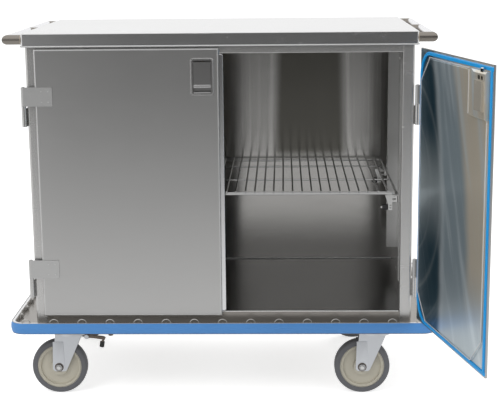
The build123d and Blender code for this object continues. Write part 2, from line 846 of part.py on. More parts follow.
def caster_plate():
    """The mounting plate with the fixed race and the king pin, at the swivel axis."""
    plate = block(-plate_length / 2, plate_length / 2, -plate_width / 2, plate_width / 2, plate_bottom, plate_top)
    plate = fillet(plate.edges().filter_by(Axis.Z), plate_corner_radius)
    race = Pos(0, 0, race_bottom) * Cylinder(race_radius, race_tall, align=(Align.CENTER, Align.CENTER, Align.MIN))
    pin = rod((0, 0, crown_bottom - king_nut_tall), (0, 0, plate_bottom), king_pin_radius)
    nut_top = crown_bottom - swivel_gap
    nut = upward(RegularPolygon(king_nut_radius, 6), nut_top - king_nut_tall, nut_top)
    return plate + race + pin + nut


def caster_plates():
    plates = []
    for name, side, end in caster_places():
        plate = Pos(side * caster_x, end * caster_y, 0) * caster_plate()
        if name == "front_left":
            plate += lock_bracket()
        plates.append(plate)
    return plates


def underside_bolts():
    """The casters' bolts, and one plug seen under the front edge."""
    bolts = []
    head_z = plate_bottom - plate_bolt_tall
    for name, side, end in caster_places():
        for dx in (-1, 1):
            for dy in (-1, 1):
                x = side * caster_x + dx * (plate_length / 2 - plate_bolt_inset_x)
                y = end * caster_y + dy * (plate_width / 2 - plate_bolt_inset_y)
                bolts.append(upward(Pos(x, y) * RegularPolygon(plate_bolt_radius, 6), head_z, plate_bottom))
    plug_y = face_y - plug_forward
    bolts.append(rod((plug_x, plug_y, bumper_bottom - plug_drop), (plug_x, plug_y, deck_under), plug_radius))
    return bolts


def caster_fork():
    """The swivelling fork, trailing to -x from its own axis."""
    crown = Pos(0, 0, crown_bottom) * Cylinder(crown_radius, crown_top - crown_bottom,
                                               align=(Align.CENTER, Align.CENTER, Align.MIN))
    outer = fork_gap / 2 + fork_sheet
    shoulder = crown_top - bridge_step
    bridge = block(-bridge_rear, bridge_front, -outer, outer, crown_bottom, shoulder)
    shape = crown + bridge
    foot = wheel_radius - leg_below_axle
    leg = front_outline([(-leg_foot_rear, foot), (-leg_foot_front, foot), (leg_knee, crown_bottom),
                         (leg_shoulder, shoulder), (-bridge_rear, shoulder)])
    leg = fillet(leg.vertices().sort_by(Axis.Y)[:2], leg_foot_radius)
    for side in (-1, 1):
        y0 = -outer if side < 0 else fork_gap / 2
        shape += to_back(leg, y0, fork_sheet)
    reach = outer + past
    shape -= rod((-caster_trail, -reach, wheel_radius), (-caster_trail, reach, wheel_radius), axle_radius + pin_play)
    return shape - rod((0, 0, crown_bottom - past), (0, 0, crown_top + past), king_pin_radius + pin_play)


def caster_axle():
    """The axle bolt with its head and nut outside the fork."""
    outer = fork_gap / 2 + fork_sheet
    shape = rod((-caster_trail, -outer, wheel_radius), (-caster_trail, outer, wheel_radius), axle_radius)
    for y0 in (-outer - axle_nut_tall, outer):
        nut = Pos(-caster_trail, wheel_radius) * RegularPolygon(axle_nut_radius, 6)
        shape += to_back(nut, y0, axle_nut_tall)
    return shape


def wheel_disc(radius, width):
    return rod((-caster_trail, -width / 2, wheel_radius), (-caster_trail, width / 2, wheel_radius), radius)


def caster_hub():
    """The wheel's hub: a rim, a thinner web and a boss that runs on the axle."""
    rim = wheel_disc(hub_radius, hub_width) - wheel_disc(hub_radius - hub_rim, hub_width)
    web = wheel_disc(hub_radius - hub_rim, hub_web)
    boss = wheel_disc(hub_boss_radius, fork_gap - 2 * wheel_side_gap)
    return rim + web + boss - wheel_disc(axle_radius + axle_play, fork_gap)


def caster_tyre():
    tyre = wheel_disc(wheel_radius, tyre_width)
    tyre = fillet(tyre.edges().filter_by(GeomType.CIRCLE), tyre_edge_radius)
    return tyre - wheel_disc(hub_radius, tyre_width)


def lock_bracket():
    """A lug from the front left plate to the lever's pin."""
    near, far = lock_y - lock_boss_half - lock_gap, lock_y + lock_boss_half + lock_gap
    half = lock_hanger_half
    lug = block(lock_x - lock_lug_left, lock_x + half, far, -caster_y - plate_width / 2 + lock_lug_lap,
                plate_bottom, plate_top)
    hanger = block(lock_x - half, lock_x + half, far, far + lock_hanger_sheet, lock_height - half, plate_top)
    pin = rod((lock_x, near, lock_height), (lock_x, lock_y + lock_pin_back, lock_height), lock_pin_radius)
    head_radius = lock_pin_radius + lock_head_lip
    head = rod((lock_x, lock_y - lock_head_reach, lock_height), (lock_x, near, lock_height), head_radius)
    return lug + hanger + pin + head


def lock_lever_arm():
    y0, y1 = lock_y - lock_boss_half, lock_y + lock_boss_half
    boss = rod((lock_x, y0, lock_height), (lock_x, y1, lock_height), lock_boss_radius)
    end_x, end_z = lock_x + lock_arm_reach, lock_height - lock_arm_drop
    foot_z = end_z - lock_grip_top
    arm = front_outline([(lock_x, lock_height + lock_root_above), (lock_x, lock_height - lock_root_below),
                         (end_x - lock_elbow_inset, end_z - lock_elbow_drop), (end_x - lock_foot_left, foot_z),
                         (end_x + lock_foot_right, foot_z), (end_x + lock_heel, end_z),
                         (end_x + lock_shoulder, end_z + lock_shoulder_rise)])
    shape = boss + to_back(arm, lock_y - lock_arm_wide / 2, lock_arm_wide)
    bore = lock_pin_radius + pin_play
    return shape - rod((lock_x, y0 - past, lock_height), (lock_x, y1 + past, lock_height), bore)


def lock_lever_grip():
    """The ribbed grip on the lever's end."""
    start_x, end_z = lock_x + lock_arm_reach - lock_grip_lean, lock_height - lock_arm_drop
    top, bottom = end_z - lock_grip_top, end_z - lock_grip_drop
    core_radius = lock_grip_radius - lock_rib_rise
    shape = rod((start_x, lock_y, top), (start_x - lock_grip_lean, lock_y, bottom), core_radius)
    for step in range(lock_rib_count):
        share = lock_rib_first + lock_rib_step * step
        x = start_x - lock_grip_lean * share
        z = top + (bottom - top) * share
        rib_ends = (x, lock_y, z + lock_rib_half), (x - lock_rib_lean, lock_y, z - lock_rib_half)
        shape += rod(*rib_ends, lock_grip_radius)
    above = 2 * lock_grip_radius
    return shape - block(start_x - above, start_x + above, lock_y - above, lock_y + above, top, top + above)


def tube_between(start, end):
    return rod(start, end, handle_radius) - rod(start, end, handle_radius - handle_sheet)


def mitre_half(y, inward, outer):
    """The half of a corner beyond its 45 degree mitre: the outer half, or the inner one."""
    reach = 2 * handle_radius
    side = -1 if outer else 1
    points = [(handle_x + reach, y - inward * reach), (handle_x - reach, y + inward * reach),
              (handle_x + side * reach, y + side * inward * reach)]
    return upward(Polygon(*points, align=None), handle_z - reach, handle_z + reach)


def handle_ends():
    """The y of each corner stub's axis, with the direction to the middle of the cart."""
    y = top_depth / 2 - handle_end_inset - handle_radius
    return [(-y, 1), (y, -1)]


def handle_tube():
    """The long tube of the right handle, cut at 45 degrees at both ends."""
    reach = top_depth / 2 - handle_end_inset
    tube = tube_between((handle_x, -reach, handle_z), (handle_x, reach, handle_z))
    for y, inward in handle_ends():
        tube -= mitre_half(y, inward, True)
    return tube


def handle_stubs():
    """Three stubs a side, from the top to the tube."""
    start = top_width / 2
    stubs = []
    for y, inward in handle_ends():
        stub = tube_between((start, y, handle_z), (handle_x + handle_radius, y, handle_z))
        stubs.append(stub - mitre_half(y, inward, False))
    middle = tube_between((start, 0, handle_z), (handle_x, 0, handle_z))
    beside = 2 * handle_radius
    stubs.append(middle - rod((handle_x, -beside, handle_z), (handle_x, beside, handle_z), handle_radius))
    return stubs


def standard(front_depth):
    """A slotted upright on the right wall, this far behind the doors' faces."""
    y0 = face_y + front_depth
    y1 = y0 + standard_width
    x1 = half_width - wall
    x0 = x1 - standard_depth
    shape = block(x0, x1, y0, y1, standard_bottom, standard_top)
    shape -= block(x0 + wall, x1, y0 + wall, y1 - wall, standard_bottom, standard_top)
    middle = (y0 + y1) / 2
    count = int((standard_top - standard_bottom) // slot_pitch)
    for step in range(count):
        z = standard_bottom + slot_pitch * (step + 0.5)
        shape -= block(x0 - past, x0 + wall, middle - slot_width / 2, middle + slot_width / 2,
                       z - slot_tall / 2, z + slot_tall / 2)
    return shape


def shelf_clip(front_depth):
    """A clip on a standard that carries the shelf's side rail, with the stud of its knob."""
    x1 = half_width - wall - standard_depth
    y0 = face_y + front_depth
    y1 = y0 + standard_width
    sheet = clip_plate_sheet
    front_y = y0 - clip_forward
    arm_top = clip_seat - sheet
    plate = block(x1 - sheet, x1, y0, y1, clip_seat - hook_drop, clip_seat + hook_rise)
    ledge = block(clip_x, x1, y0, y1, arm_top, clip_seat)
    bridge = block(clip_x, clip_x + clip_bridge, front_y, y1, arm_top - sheet, arm_top)
    arm_foot = arm_top - arm_drop
    arm = to_back(front_outline([(clip_x - arm_left, arm_top), (clip_x + arm_right, arm_top),
                                 (clip_x - arm_foot_right, arm_foot), (clip_x - arm_foot_left, arm_foot)]),
                  front_y, sheet)
    tab_x = clip_x - clip_tab_left
    tab = block(tab_x, clip_x + clip_tab_right, front_y, front_y + sheet, knob_z - clip_tab_below, arm_top)
    for z in (knob_z - clip_slot_below, knob_z + clip_slot_above):
        tab -= block(clip_x - clip_slot_left, clip_x + clip_slot_right, front_y - past, front_y + sheet + past,
                     z - clip_slot_half, z + clip_slot_half)
    stud_y = front_y + sheet + stud_stand_off
    lug = block(tab_x, tab_x + lug_sheet, front_y, stud_y + lug_back, knob_z - lug_half, knob_z + lug_half)
    stud = rod((tab_x - knob_length - stud_end, stud_y, knob_z), (tab_x + lug_sheet, stud_y, knob_z), stud_radius)
    start, reach = clip_x + loop_root, clip_x + loop_reach
    low, high = arm_top - loop_low, arm_top - loop_high
    loop_y = front_y + stud_stand_off
    loop = rod((reach, loop_y, high + stud_radius), (reach, loop_y, low - stud_radius), stud_radius)
    for z in (low, high):
        loop += rod((start, loop_y, z), (reach, loop_y, z), stud_radius)
    return plate + ledge + bridge + arm + tab + lug + stud + loop


def clip_knob(front_depth):
    """The lobed knob on a clip's stud."""
    y = face_y + front_depth - clip_forward + clip_plate_sheet + stud_stand_off
    end = clip_x - clip_tab_left
    start = end - knob_length
    body = rod((start, y, knob_z), (end, y, knob_z), knob_radius - knob_root_drop)
    for step in range(lobe_count):
        turn = radians(360 / lobe_count * step)
        lobe_y = y + cos(turn) * (knob_radius - lobe_radius)
        lobe_z = knob_z + sin(turn) * (knob_radius - lobe_radius)
        body += rod((start + lobe_start, lobe_y, lobe_z), (end - lobe_end, lobe_y, lobe_z), lobe_radius)
    return body - rod((start - past, y, knob_z), (end + past, y, knob_z), stud_radius)


def shelf_frame():
    """The bent rail round the shelf and its cross wires."""
    y0, y1 = face_y + shelf_front, face_y + shelf_back
    side = shelf_side
    plan = RectangleRounded(2 * side, y1 - y0, shelf_side_corner)
    path = Pos(0, (y0 + y1) / 2, shelf_rail_z) * plan
    route = path.wire()
    section = Plane(origin=route @ 0, z_dir=route % 0) * Circle(shelf_rail_radius)
    frame = sweep(section, path=route)
    for depth in cross_wire_depths:
        y = face_y + depth
        z = shelf_rail_z + shelf_rail_radius - wire_radius
        frame += rod((-side, y, z), (side, y, z), wire_radius)
    return frame


def shelf_wires():
    """The long wires, lying on the rail and the cross wires."""
    z = shelf_rail_z + shelf_rail_radius + wire_radius
    y0 = face_y + shelf_front - wire_overhang
    y1 = face_y + shelf_back + wire_overhang
    count = int((shelf_side - wire_pitch / 2 - wire_radius) // wire_pitch)
    wires = []
    for step in range(-count - 1, count + 1):
        x = wire_pitch / 2 + step * wire_pitch
        wires.append(rod((x, y0, z), (x, y1, z), wire_radius))
    return wires


def write(name, shape):
    pieces = shape if isinstance(shape, list) else [shape]
    solids = [solid for piece in pieces for solid in piece.solids()]
    export_step(Compound(children=solids), "parts/" + name + ".step")
    print(name, len(solids), "solids")


def main():
    os.makedirs("parts", exist_ok=True)
    write("top_panel", top_panel())
    post, panel = front_post(), side_panel()
    write("right_front_post", post)
    write("left_front_post", mirrored(post))
    write("right_side_panel", panel)
    write("left_side_panel", mirrored(panel))
    write("back_panel", back_panel())
    write("header", header())
    write("sill", sill())
    write("cabinet_floor", cabinet_floor())
    write("base_deck", base_deck())
    write("bumper_channel", bumper_channel())
    write("bumper", bumper())
    write("bumper_fixings", bumper_fixings())
    write("cross_members", cross_members())
    write("caster_plates", caster_plates())
    write("underside_bolts", underside_bolts())
    write("handle_tubes", both_sides(handle_tube()))
    stubs = handle_stubs()
    write("handle_stubs", stubs + [mirrored(stub) for stub in stubs])
    knuckles = [fixed_knuckle(z) for z in strap_heights]
    write("fixed_hinge_knuckles", knuckles + [mirrored(knuckle) for knuckle in knuckles])
    pins = [hinge_pin(z) for z in strap_heights]
    write("hinge_pins", pins + [mirrored(pin) for pin in pins])
    depths = (standard_front, standard_rear)
    standards = [standard(depth) for depth in depths]
    write("shelf_standards", standards + [mirrored(one) for one in standards])
    clips = [shelf_clip(depth) for depth in depths]
    write("shelf_clips", clips + [mirrored(clip) for clip in clips])
    knobs = [clip_knob(depth) for depth in depths]
    write("shelf_clip_knobs", knobs + [mirrored(knob) for knob in knobs])
    write("shelf_frame", shelf_frame())
    write("shelf_wires", shelf_wires())
    straps = [hinge_strap(z) for z in strap_heights]
    door = {"door_skin": [door_skin()], "door_pan": [door_pan()], "latch_housing": [latch_housing()],
            "hinge_straps": straps, "latch_cover": [latch_cover()], "latch_paddle": [paddle()],
            "latch_bolt": [latch_bolt()]}
    for name, pieces in door.items():
        write("right_" + name, [opened(piece) for piece in pieces])
        write("left_" + name, [mirrored(piece) for piece in pieces])
    write("right_door_gasket", opened(gasket(True)))
    write("left_door_gasket", mirrored(gasket(False)))
    write("left_door_astragal", astragal())
    for name, side, end in caster_places():
        place = Pos(side * caster_x, end * caster_y, 0)
        write(name + "_caster_fork", place * caster_fork())
        write(name + "_caster_axle", place * caster_axle())
        write(name + "_caster_hub", place * caster_hub())
        write(name + "_caster_tyre", place * caster_tyre())
    write("lock_lever_arm", lock_lever_arm())
    write("lock_lever_grip", lock_lever_grip())


main()
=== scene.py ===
import bpy
from math import cos, pi, radians, sin
from mathutils import Matrix, Vector


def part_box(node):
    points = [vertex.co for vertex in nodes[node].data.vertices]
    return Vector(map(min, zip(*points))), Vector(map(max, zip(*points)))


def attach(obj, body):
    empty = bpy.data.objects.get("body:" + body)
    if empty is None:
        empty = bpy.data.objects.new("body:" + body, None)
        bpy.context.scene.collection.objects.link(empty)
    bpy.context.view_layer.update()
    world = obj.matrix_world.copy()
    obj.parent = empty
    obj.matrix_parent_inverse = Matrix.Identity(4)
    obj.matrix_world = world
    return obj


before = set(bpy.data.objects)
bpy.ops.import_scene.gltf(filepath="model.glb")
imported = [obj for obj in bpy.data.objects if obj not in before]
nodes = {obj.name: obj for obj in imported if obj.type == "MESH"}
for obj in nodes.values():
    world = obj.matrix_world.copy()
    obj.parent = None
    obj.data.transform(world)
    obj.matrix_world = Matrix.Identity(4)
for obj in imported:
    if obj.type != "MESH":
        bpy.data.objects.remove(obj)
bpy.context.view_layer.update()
print("frame loaded,", len(nodes), "nodes")


class Wire:
    # one output of a shader node, with arithmetic
    def __init__(self, tree, socket=None):
        self.tree, self.socket = tree, socket

    def make(self, kind, settings=None, feeds=None, out=0):
        node = self.tree.nodes.new(kind)
        for key, value in (settings or {}).items():
            setattr(node, key, value)
        for key, value in (feeds or {}).items():
            if isinstance(value, Wire):
                self.tree.links.new(value.socket, node.inputs[key])
            else:
                node.inputs[key].default_value = value
        return Wire(self.tree, node.outputs[out])

    def math(self, operation, first, second=0.0):
        return self.make("ShaderNodeMath", {"operation": operation}, {0: first, 1: second})

    def __add__(self, other):
        return self.math("ADD", self, other)

    def __radd__(self, other):
        return self.math("ADD", other, self)

    def __sub__(self, other):
        return self.math("SUBTRACT", self, other)

    def __rsub__(self, other):
        return self.math("SUBTRACT", other, self)

    def __mul__(self, other):
        return self.math("MULTIPLY", self, other)

    def __rmul__(self, other):
        return self.math("MULTIPLY", other, self)

    def __truediv__(self, other):
        return self.math("DIVIDE", self, other)

    def __rtruediv__(self, other):
        return self.math("DIVIDE", other, self)

    def __pow__(self, other):
        return self.math("POWER", self, other)

    def __rpow__(self, other):
        return self.math("POWER", other, self)

    def absolute(self):
        return self.math("ABSOLUTE", self)

    def highest(self, other):
        return self.math("MAXIMUM", self, other)

    def parts(self):
        # the x, y and z of a vector
        outputs = self.make("ShaderNodeSeparateXYZ", {}, {0: self}).socket.node.outputs
        return [Wire(self.tree, outputs[name]) for name in "XYZ"]

    def stretched(self, scale):
        return self.make("ShaderNodeVectorMath", {"operation": "MULTIPLY"}, {0: self, 1: scale})

    def noise(self, scale, detail=2.0, distortion=0.0):
        feeds = {"Vector": self, "Scale": scale, "Detail": detail, "Distortion": distortion}
        return self.make("ShaderNodeTexNoise", {}, feeds)

    def streaks(self, other, scale):
        # noise that changes with this wire and hardly with the other one
        return self.make("ShaderNodeCombineXYZ", {}, {0: self * scale, 1: other}).noise(1.0, 3.0)

    def between(self, low, high):
        # from 0 at the first value to 1 at the second, which may be the lower one, with a soft start and end
        feeds = {"Value": self, "From Min": low, "From Max": high}
        return self.make("ShaderNodeMapRange", {"interpolation_type": "SMOOTHSTEP"}, feeds)

    def blend(self, first, second):
        # this wire is the factor from the first colour to the second, which are the mixer's sockets 6 and 7
        mixed = self.make("ShaderNodeMix", {"data_type": "RGBA"}, {0: self}, 2)
        inputs = mixed.socket.node.inputs
        for index, colour in ((6, first), (7, second)):
            if isinstance(colour, Wire):
                self.tree.links.new(colour.socket, inputs[index])
            else:
                inputs[index].default_value = (*colour, 1)
        return mixed

    def bump(self, depth, under=None):
        feeds = {"Height": self, "Distance": depth, "Strength": 1.0}
        if under:
            feeds["Normal"] = under
        return self.make("ShaderNodeBump", {}, feeds)


def freshMaterial(name):
    material = bpy.data.materials.new(name)
    material.use_nodes = True
    tree = material.node_tree
    coords = Wire(tree).make("ShaderNodeTexCoord", out="Object")
    return material, tree.nodes["Principled BSDF"], coords


def plug(shader, name, value):
    if isinstance(value, Wire):
        value.tree.links.new(value.socket, shader.inputs[name])
    else:
        shader.inputs[name].default_value = value


def shaded(tone, amount):
    return tuple(min(1.0, part * amount) for part in tone)


# the camera, as fitted to the photograph: its place in metres, its angles in degrees, its lens in millimetres
viewpoint = {"place": (0.16587, -3.55074, 1.22641), "yaw": -1.57, "pitch": 11.68, "roll": -0.56,
             "lens": 89.96, "sensor": 36.0}


def makeCamera():
    yaw, pitch, roll = (radians(viewpoint[key]) for key in ("yaw", "pitch", "roll"))
    ahead = Vector((sin(yaw) * cos(pitch), cos(yaw) * cos(pitch), -sin(pitch)))
    right = Vector((cos(yaw), -sin(yaw), 0))
    up = right.cross(ahead)
    tiltedRight = right * cos(roll) + up * sin(roll)
    tiltedUp = up * cos(roll) - right * sin(roll)
    turn = Matrix((tiltedRight, tiltedUp, -ahead)).transposed()
    data = bpy.data.cameras.new("camera")
    data.lens, data.sensor_width = viewpoint["lens"], viewpoint["sensor"]
    camera = bpy.data.objects.new("camera", data)
    camera.matrix_world = Matrix.Translation(viewpoint["place"]) @ turn.to_4x4()
    bpy.context.scene.collection.objects.link(camera)
    bpy.context.scene.camera = camera


makeCamera()
print("camera placed")

# a white studio: the camera sees floor and world as white, and metal sees them darken in front of the cart
studio = {"floorReach": 30.0, "floorZ": -0.0005, "floorTone": 0.86, "floorLift": 0.62,  # its paint, its glow
          "nearTone": 0.84, "nearY": -1.1, "farY": -6.0,  # the floor as metal sees it, out to the dark front
          "worldLight": 0.70, "aheadBand": (0.1, 0.6), "skyBand": (0.60, 0.10),  # the world's dark front
          "frontTone": 0.05, "sideTone": 0.95, "sideCentre": 0.30, "sideBand": (0.50, 0.95),
          "leastAhead": 0.01}
# three soft lamps, which no metal mirrors: where they stand, what they point at, their size and power
lamps = {"keyLamp": dict(place=(-2.2, -3.0, 3.4), target=(0.0, -0.1, 0.5), size=2.2, watts=55.0),
         "fillLamp": dict(place=(3.2, -2.4, 2.2), target=(0.2, 0.0, 0.5), size=2.0, watts=22.0),
         "backLamp": dict(place=(0.5, 2.8, 3.2), target=(0.0, 0.0, 0.8), size=2.4, watts=40.0)}


def rayKinds(start):
    # which rays come from the camera, off gloss and through glass
    outputs = start.make("ShaderNodeLightPath").socket.node.outputs
    return [Wire(start.tree, outputs["Is " + kind + " Ray"]) for kind in ("Camera", "Glossy", "Transmission")]


def darkSide(across, ahead):
    # what metal sees in front of the cart, by the slant from straight ahead
    off = (across / ahead.highest(studio["leastAhead"]) - studio["sideCentre"]).absolute()
    side = off.between(*studio["sideBand"])
    return side * (studio["sideTone"] - studio["frontTone"]) + studio["frontTone"]


def makeStudioFloor():
    bpy.ops.mesh.primitive_plane_add(size=2 * studio["floorReach"], location=(0, 0, studio["floorZ"]))
    floor = bpy.context.active_object
    floor.name = "studioFloor"
    material = bpy.data.materials.new("floorPaint")
    material.use_nodes = True
    tree = material.node_tree
    tree.nodes.remove(tree.nodes["Principled BSDF"])
    start = Wire(tree)
    camera, glossy, through = rayKinds(start)
    across, back = start.make("ShaderNodeTexCoord", out="Object").parts()[:2]
    ahead = 0.0 - back
    fade = ahead.between(-studio["nearY"], -studio["farY"])
    tone = fade * (darkSide(across, ahead) - studio["nearTone"]) + studio["nearTone"]
    paint = start.make("ShaderNodeBsdfDiffuse", {}, {"Color": (studio["floorTone"],) * 3 + (1,)})
    glow = start.make("ShaderNodeEmission", {}, {"Strength": camera.highest(through) * studio["floorLift"]})
    lit = start.make("ShaderNodeAddShader", {}, {0: paint, 1: glow})
    mirrored = start.make("ShaderNodeEmission", {}, {"Strength": tone})
    both = start.make("ShaderNodeMixShader", {}, {0: glossy, 1: lit, 2: mirrored})
    tree.links.new(both.socket, tree.nodes["Material Output"].inputs["Surface"])
    floor.data.materials.append(material)


def makeWorld():
    world = bpy.data.worlds.new("studioWorld")
    bpy.context.scene.world = world
    world.use_nodes = True
    tree = world.node_tree
    start = Wire(tree)
    camera, glossy, through = rayKinds(start)
    across, back, height = start.make("ShaderNodeTexCoord", out="Generated").parts()
    ahead = 0.0 - back
    front = ahead.between(*studio["aheadBand"]) * height.between(*studio["skyBand"]) * glossy
    seen = camera.highest(glossy).highest(through)
    strength = seen * (1.0 - studio["worldLight"]) + studio["worldLight"]
    strength = strength * (1.0 - front * (1.0 - darkSide(across, ahead)))
    background = tree.nodes["Background"]
    tree.links.new(strength.socket, background.inputs["Strength"])
    background.inputs["Color"].default_value = (1, 1, 1, 1)


def makeLamps():
    for name, look in lamps.items():
        data = bpy.data.lights.new(name, "AREA")
        data.shape, data.size, data.energy = "DISK", look["size"], look["watts"]
        lamp = bpy.data.objects.new(name, data)
        aim = (Vector(look["target"]) - Vector(look["place"])).to_track_quat("-Z", "Y")
        lamp.matrix_world = Matrix.Translation(look["place"]) @ aim.to_matrix().to_4x4()
        lamp.visible_glossy = False
        bpy.context.scene.collection.objects.link(lamp)


makeStudioFloor()
makeWorld()
makeLamps()
bpy.context.scene.view_settings.view_transform = "Standard"
print("studio made")

# each metal: its tone, its roughness and what differs from a plain one
plainMetal = {"grain": (60.0, 60.0, 60.0), "depth": 0.0,  # how fine the grain is along x, y and z, its bump
              "bow": 0.0, "smear": 0.0,  # the sway of the sheet, and how far its gloss smears
              "metallic": 1.0, "paintedReflections": None}
levelGrain, topGrain, alongTube = (25.0, 25.0, 1400.0), (8.0, 900.0, 900.0), (600.0, 12.0, 600.0)
# the door pans' steel: its bluish tone is painted reflection, and its painted reflection zones follow below
panSteel = dict(tone=(0.34, 0.42, 0.465), rough=0.30, grain=(30.0, 30.0, 30.0), bow=0.0012, metallic=0.6,
                paintedReflections="pan")
metalLooks = {
    "satinSteel": dict(tone=(0.60, 0.597, 0.59), rough=0.30, grain=levelGrain, depth=0.000004, bow=0.0006,
                       smear=0.55),
    "panelSteel": dict(tone=(0.60, 0.597, 0.59), rough=0.26, grain=levelGrain, depth=0.000003, bow=0.0004,
                       smear=0.5),
    "postSteel": dict(tone=(0.62, 0.615, 0.605), rough=0.26, grain=levelGrain, depth=0.000003, smear=0.5,
                      metallic=0.84),
    "insideSteel": dict(tone=(0.64, 0.63, 0.61), rough=0.20, grain=levelGrain, bow=0.002, smear=0.9,
                        paintedReflections="wall"),
    "topSteel": dict(tone=(0.84, 0.84, 0.84), rough=0.26, grain=topGrain),
    "floorSteel": dict(tone=(0.31, 0.305, 0.30), rough=0.20, grain=topGrain, depth=0.00001, bow=0.0006),
    "deckSteel": dict(tone=(0.33, 0.31, 0.285), rough=0.24, grain=(8.0, 700.0, 700.0), depth=0.000003,
                      metallic=0.55),
    # along is the way from the hinge to the free side, and start is where the sheet begins on that way
    "rightPanSteel": dict(panSteel, along=(0.223, -0.975), start=0.4389),
    "leftPanSteel": dict(panSteel, along=(1.0, 0.0), start=-0.4835),
    "tubeSteel": dict(tone=(0.84, 0.84, 0.86), rough=0.20, grain=alongTube),
    # the tube steel darkened on the stubs as painted shade and dark reflection
    "shadedStubSteel": dict(tone=(0.31, 0.285, 0.255), rough=0.36, grain=alongTube),
    "channelAluminium": dict(tone=(0.84, 0.84, 0.85), rough=0.24, grain=(12.0, 12.0, 900.0), depth=0.00002),
    "platedSteel": dict(tone=(0.70, 0.70, 0.69), rough=0.16, grain=(120.0, 120.0, 120.0), depth=0.00002),
    "brightWire": dict(tone=(0.60, 0.60, 0.595), rough=0.12, grain=(90.0, 90.0, 90.0), depth=0.00001),
    "latchSteel": dict(tone=(0.50, 0.495, 0.49), rough=0.30, grain=(900.0, 900.0, 25.0), depth=0.00003),
    "zincSteel": dict(tone=(0.69, 0.71, 0.74), rough=0.42, grain=(260.0, 260.0, 260.0), depth=0.00004,
                      bow=0.0004),
    "axleSteel": dict(tone=(0.40, 0.40, 0.40), rough=0.24, grain=(200.0, 200.0, 200.0), depth=0.00002),
    "weldSteel": dict(tone=(0.46, 0.40, 0.33), rough=0.34, grain=(500.0, 500.0, 500.0), depth=0.00008),
    # dark oiled steel for bolts, washers and the lever arm, also used as painted shade for the line under the
    # bumper
    "oiledAndShadeSteel": dict(tone=(0.17, 0.14, 0.12), rough=0.40, grain=(300.0, 300.0, 300.0), depth=0.00006),
    "strapSteel": dict(tone=(0.50, 0.50, 0.495), rough=0.30, grain=(25.0, 25.0, 900.0), metallic=0.6),
    "standardSteel": dict(tone=(0.74, 0.74, 0.73), rough=0.24, grain=(200.0, 200.0, 20.0), metallic=0.6),
    # half diffuse pale steel, so that hems, folds, lips, rivets and the floor joint show as painted highlight
    # lines
    "highlightSteel": dict(tone=(0.66, 0.66, 0.66), rough=0.34, metallic=0.35),
    # near white steel for the sill's line, a painted highlight
    "whiteHighlightSteel": dict(tone=(0.93, 0.93, 0.92), rough=0.30, metallic=0.2),
    "fixingSteel": dict(tone=(0.62, 0.61, 0.59), rough=0.22, metallic=0.55),
    "rimSteel": dict(tone=(0.42, 0.42, 0.415), rough=0.30, metallic=0.4),
    "coverSteel": dict(tone=(0.56, 0.52, 0.45), rough=0.30, metallic=0.5),
}
# what metals share: a slow drift of tone, darker grain, patches rubbed duller, and the sway of a bowed sheet
metalWear = {"driftScale": 3.0, "driftWarp": 0.3, "driftTones": (0.97, 1.03),
             "grainTone": 0.85, "grainShare": 0.25,
             "rubStretch": (3.0, 3.0, 9.0), "rubScale": 4.0, "rubWarp": 0.6, "rubCut": (0.50, 0.75),
             "roughDrift": 0.02, "roughGrain": 0.02, "roughRub": 0.015,
             "swayStretch": (9.0, 9.0, 0.9), "smearTurn": 0.25}

# painted reflections on the polished sheets inside the doors: places are shares of their width from the hinge
# and of their height
panReflectionZone = {"width": 0.4806, "foot": 0.2365, "height": 0.719, "driftScale": 3.0,
           # a painted blue reflection by the hinge, with a painted highlight along its edge
           "blue": (0.026, 0.100, 0.150), "blueAt": 0.40, "blueLean": 0.18, "blueDrift": 0.08,
           "blueSoft": (0.035, -0.045), "blueMetallic": 0.80,
           "edgeWide": 0.07, "edgeShare": 0.60, "edgeInBlue": 0.5,
           # a painted warm reflection by the free side
           "warm": (0.71, 0.645, 0.53), "warmAt": 0.68, "warmRise": 0.406, "warmFall": 0.606,
           "warmDrift": 0.06, "warmSoft": (-0.05, 0.06), "warmFoot": (0.08, 0.36),
           # a painted pale reflection at the foot, weaker where it is blue
           "pale": (0.68, 0.75, 0.78), "paleFoot": (0.34, 0.02), "paleShare": 0.55, "paleFade": 0.50,
           # long slanting streaks, broad and fine: polishing swirls, painted light as reflections
           "slant": 0.73, "slantBend": 0.12, "streakRise": 1.4, "streakScale": 9.0,
           "streakCut": (0.48, 0.74), "streakShare": 0.80, "streakFade": 0.72,
           "fineRise": 0.8, "fineScale": 60.0, "fineCut": (0.56, 0.80), "fineShare": 0.20,
           # painted reflection arcs across the blue, and a painted light reflection as a waist at half its
           # height
           "ringOut": 0.12, "ringFlat": 0.6, "ringMiddle": 0.5, "arcScale": 22.0, "arcCut": (0.50, 0.75),
           "arcShare": 0.30, "arcOnWaist": 0.30,
           "waist": (0.72, 0.82, 0.86), "waistAt": 0.52, "waistTall": 0.24, "waistShare": 0.75}


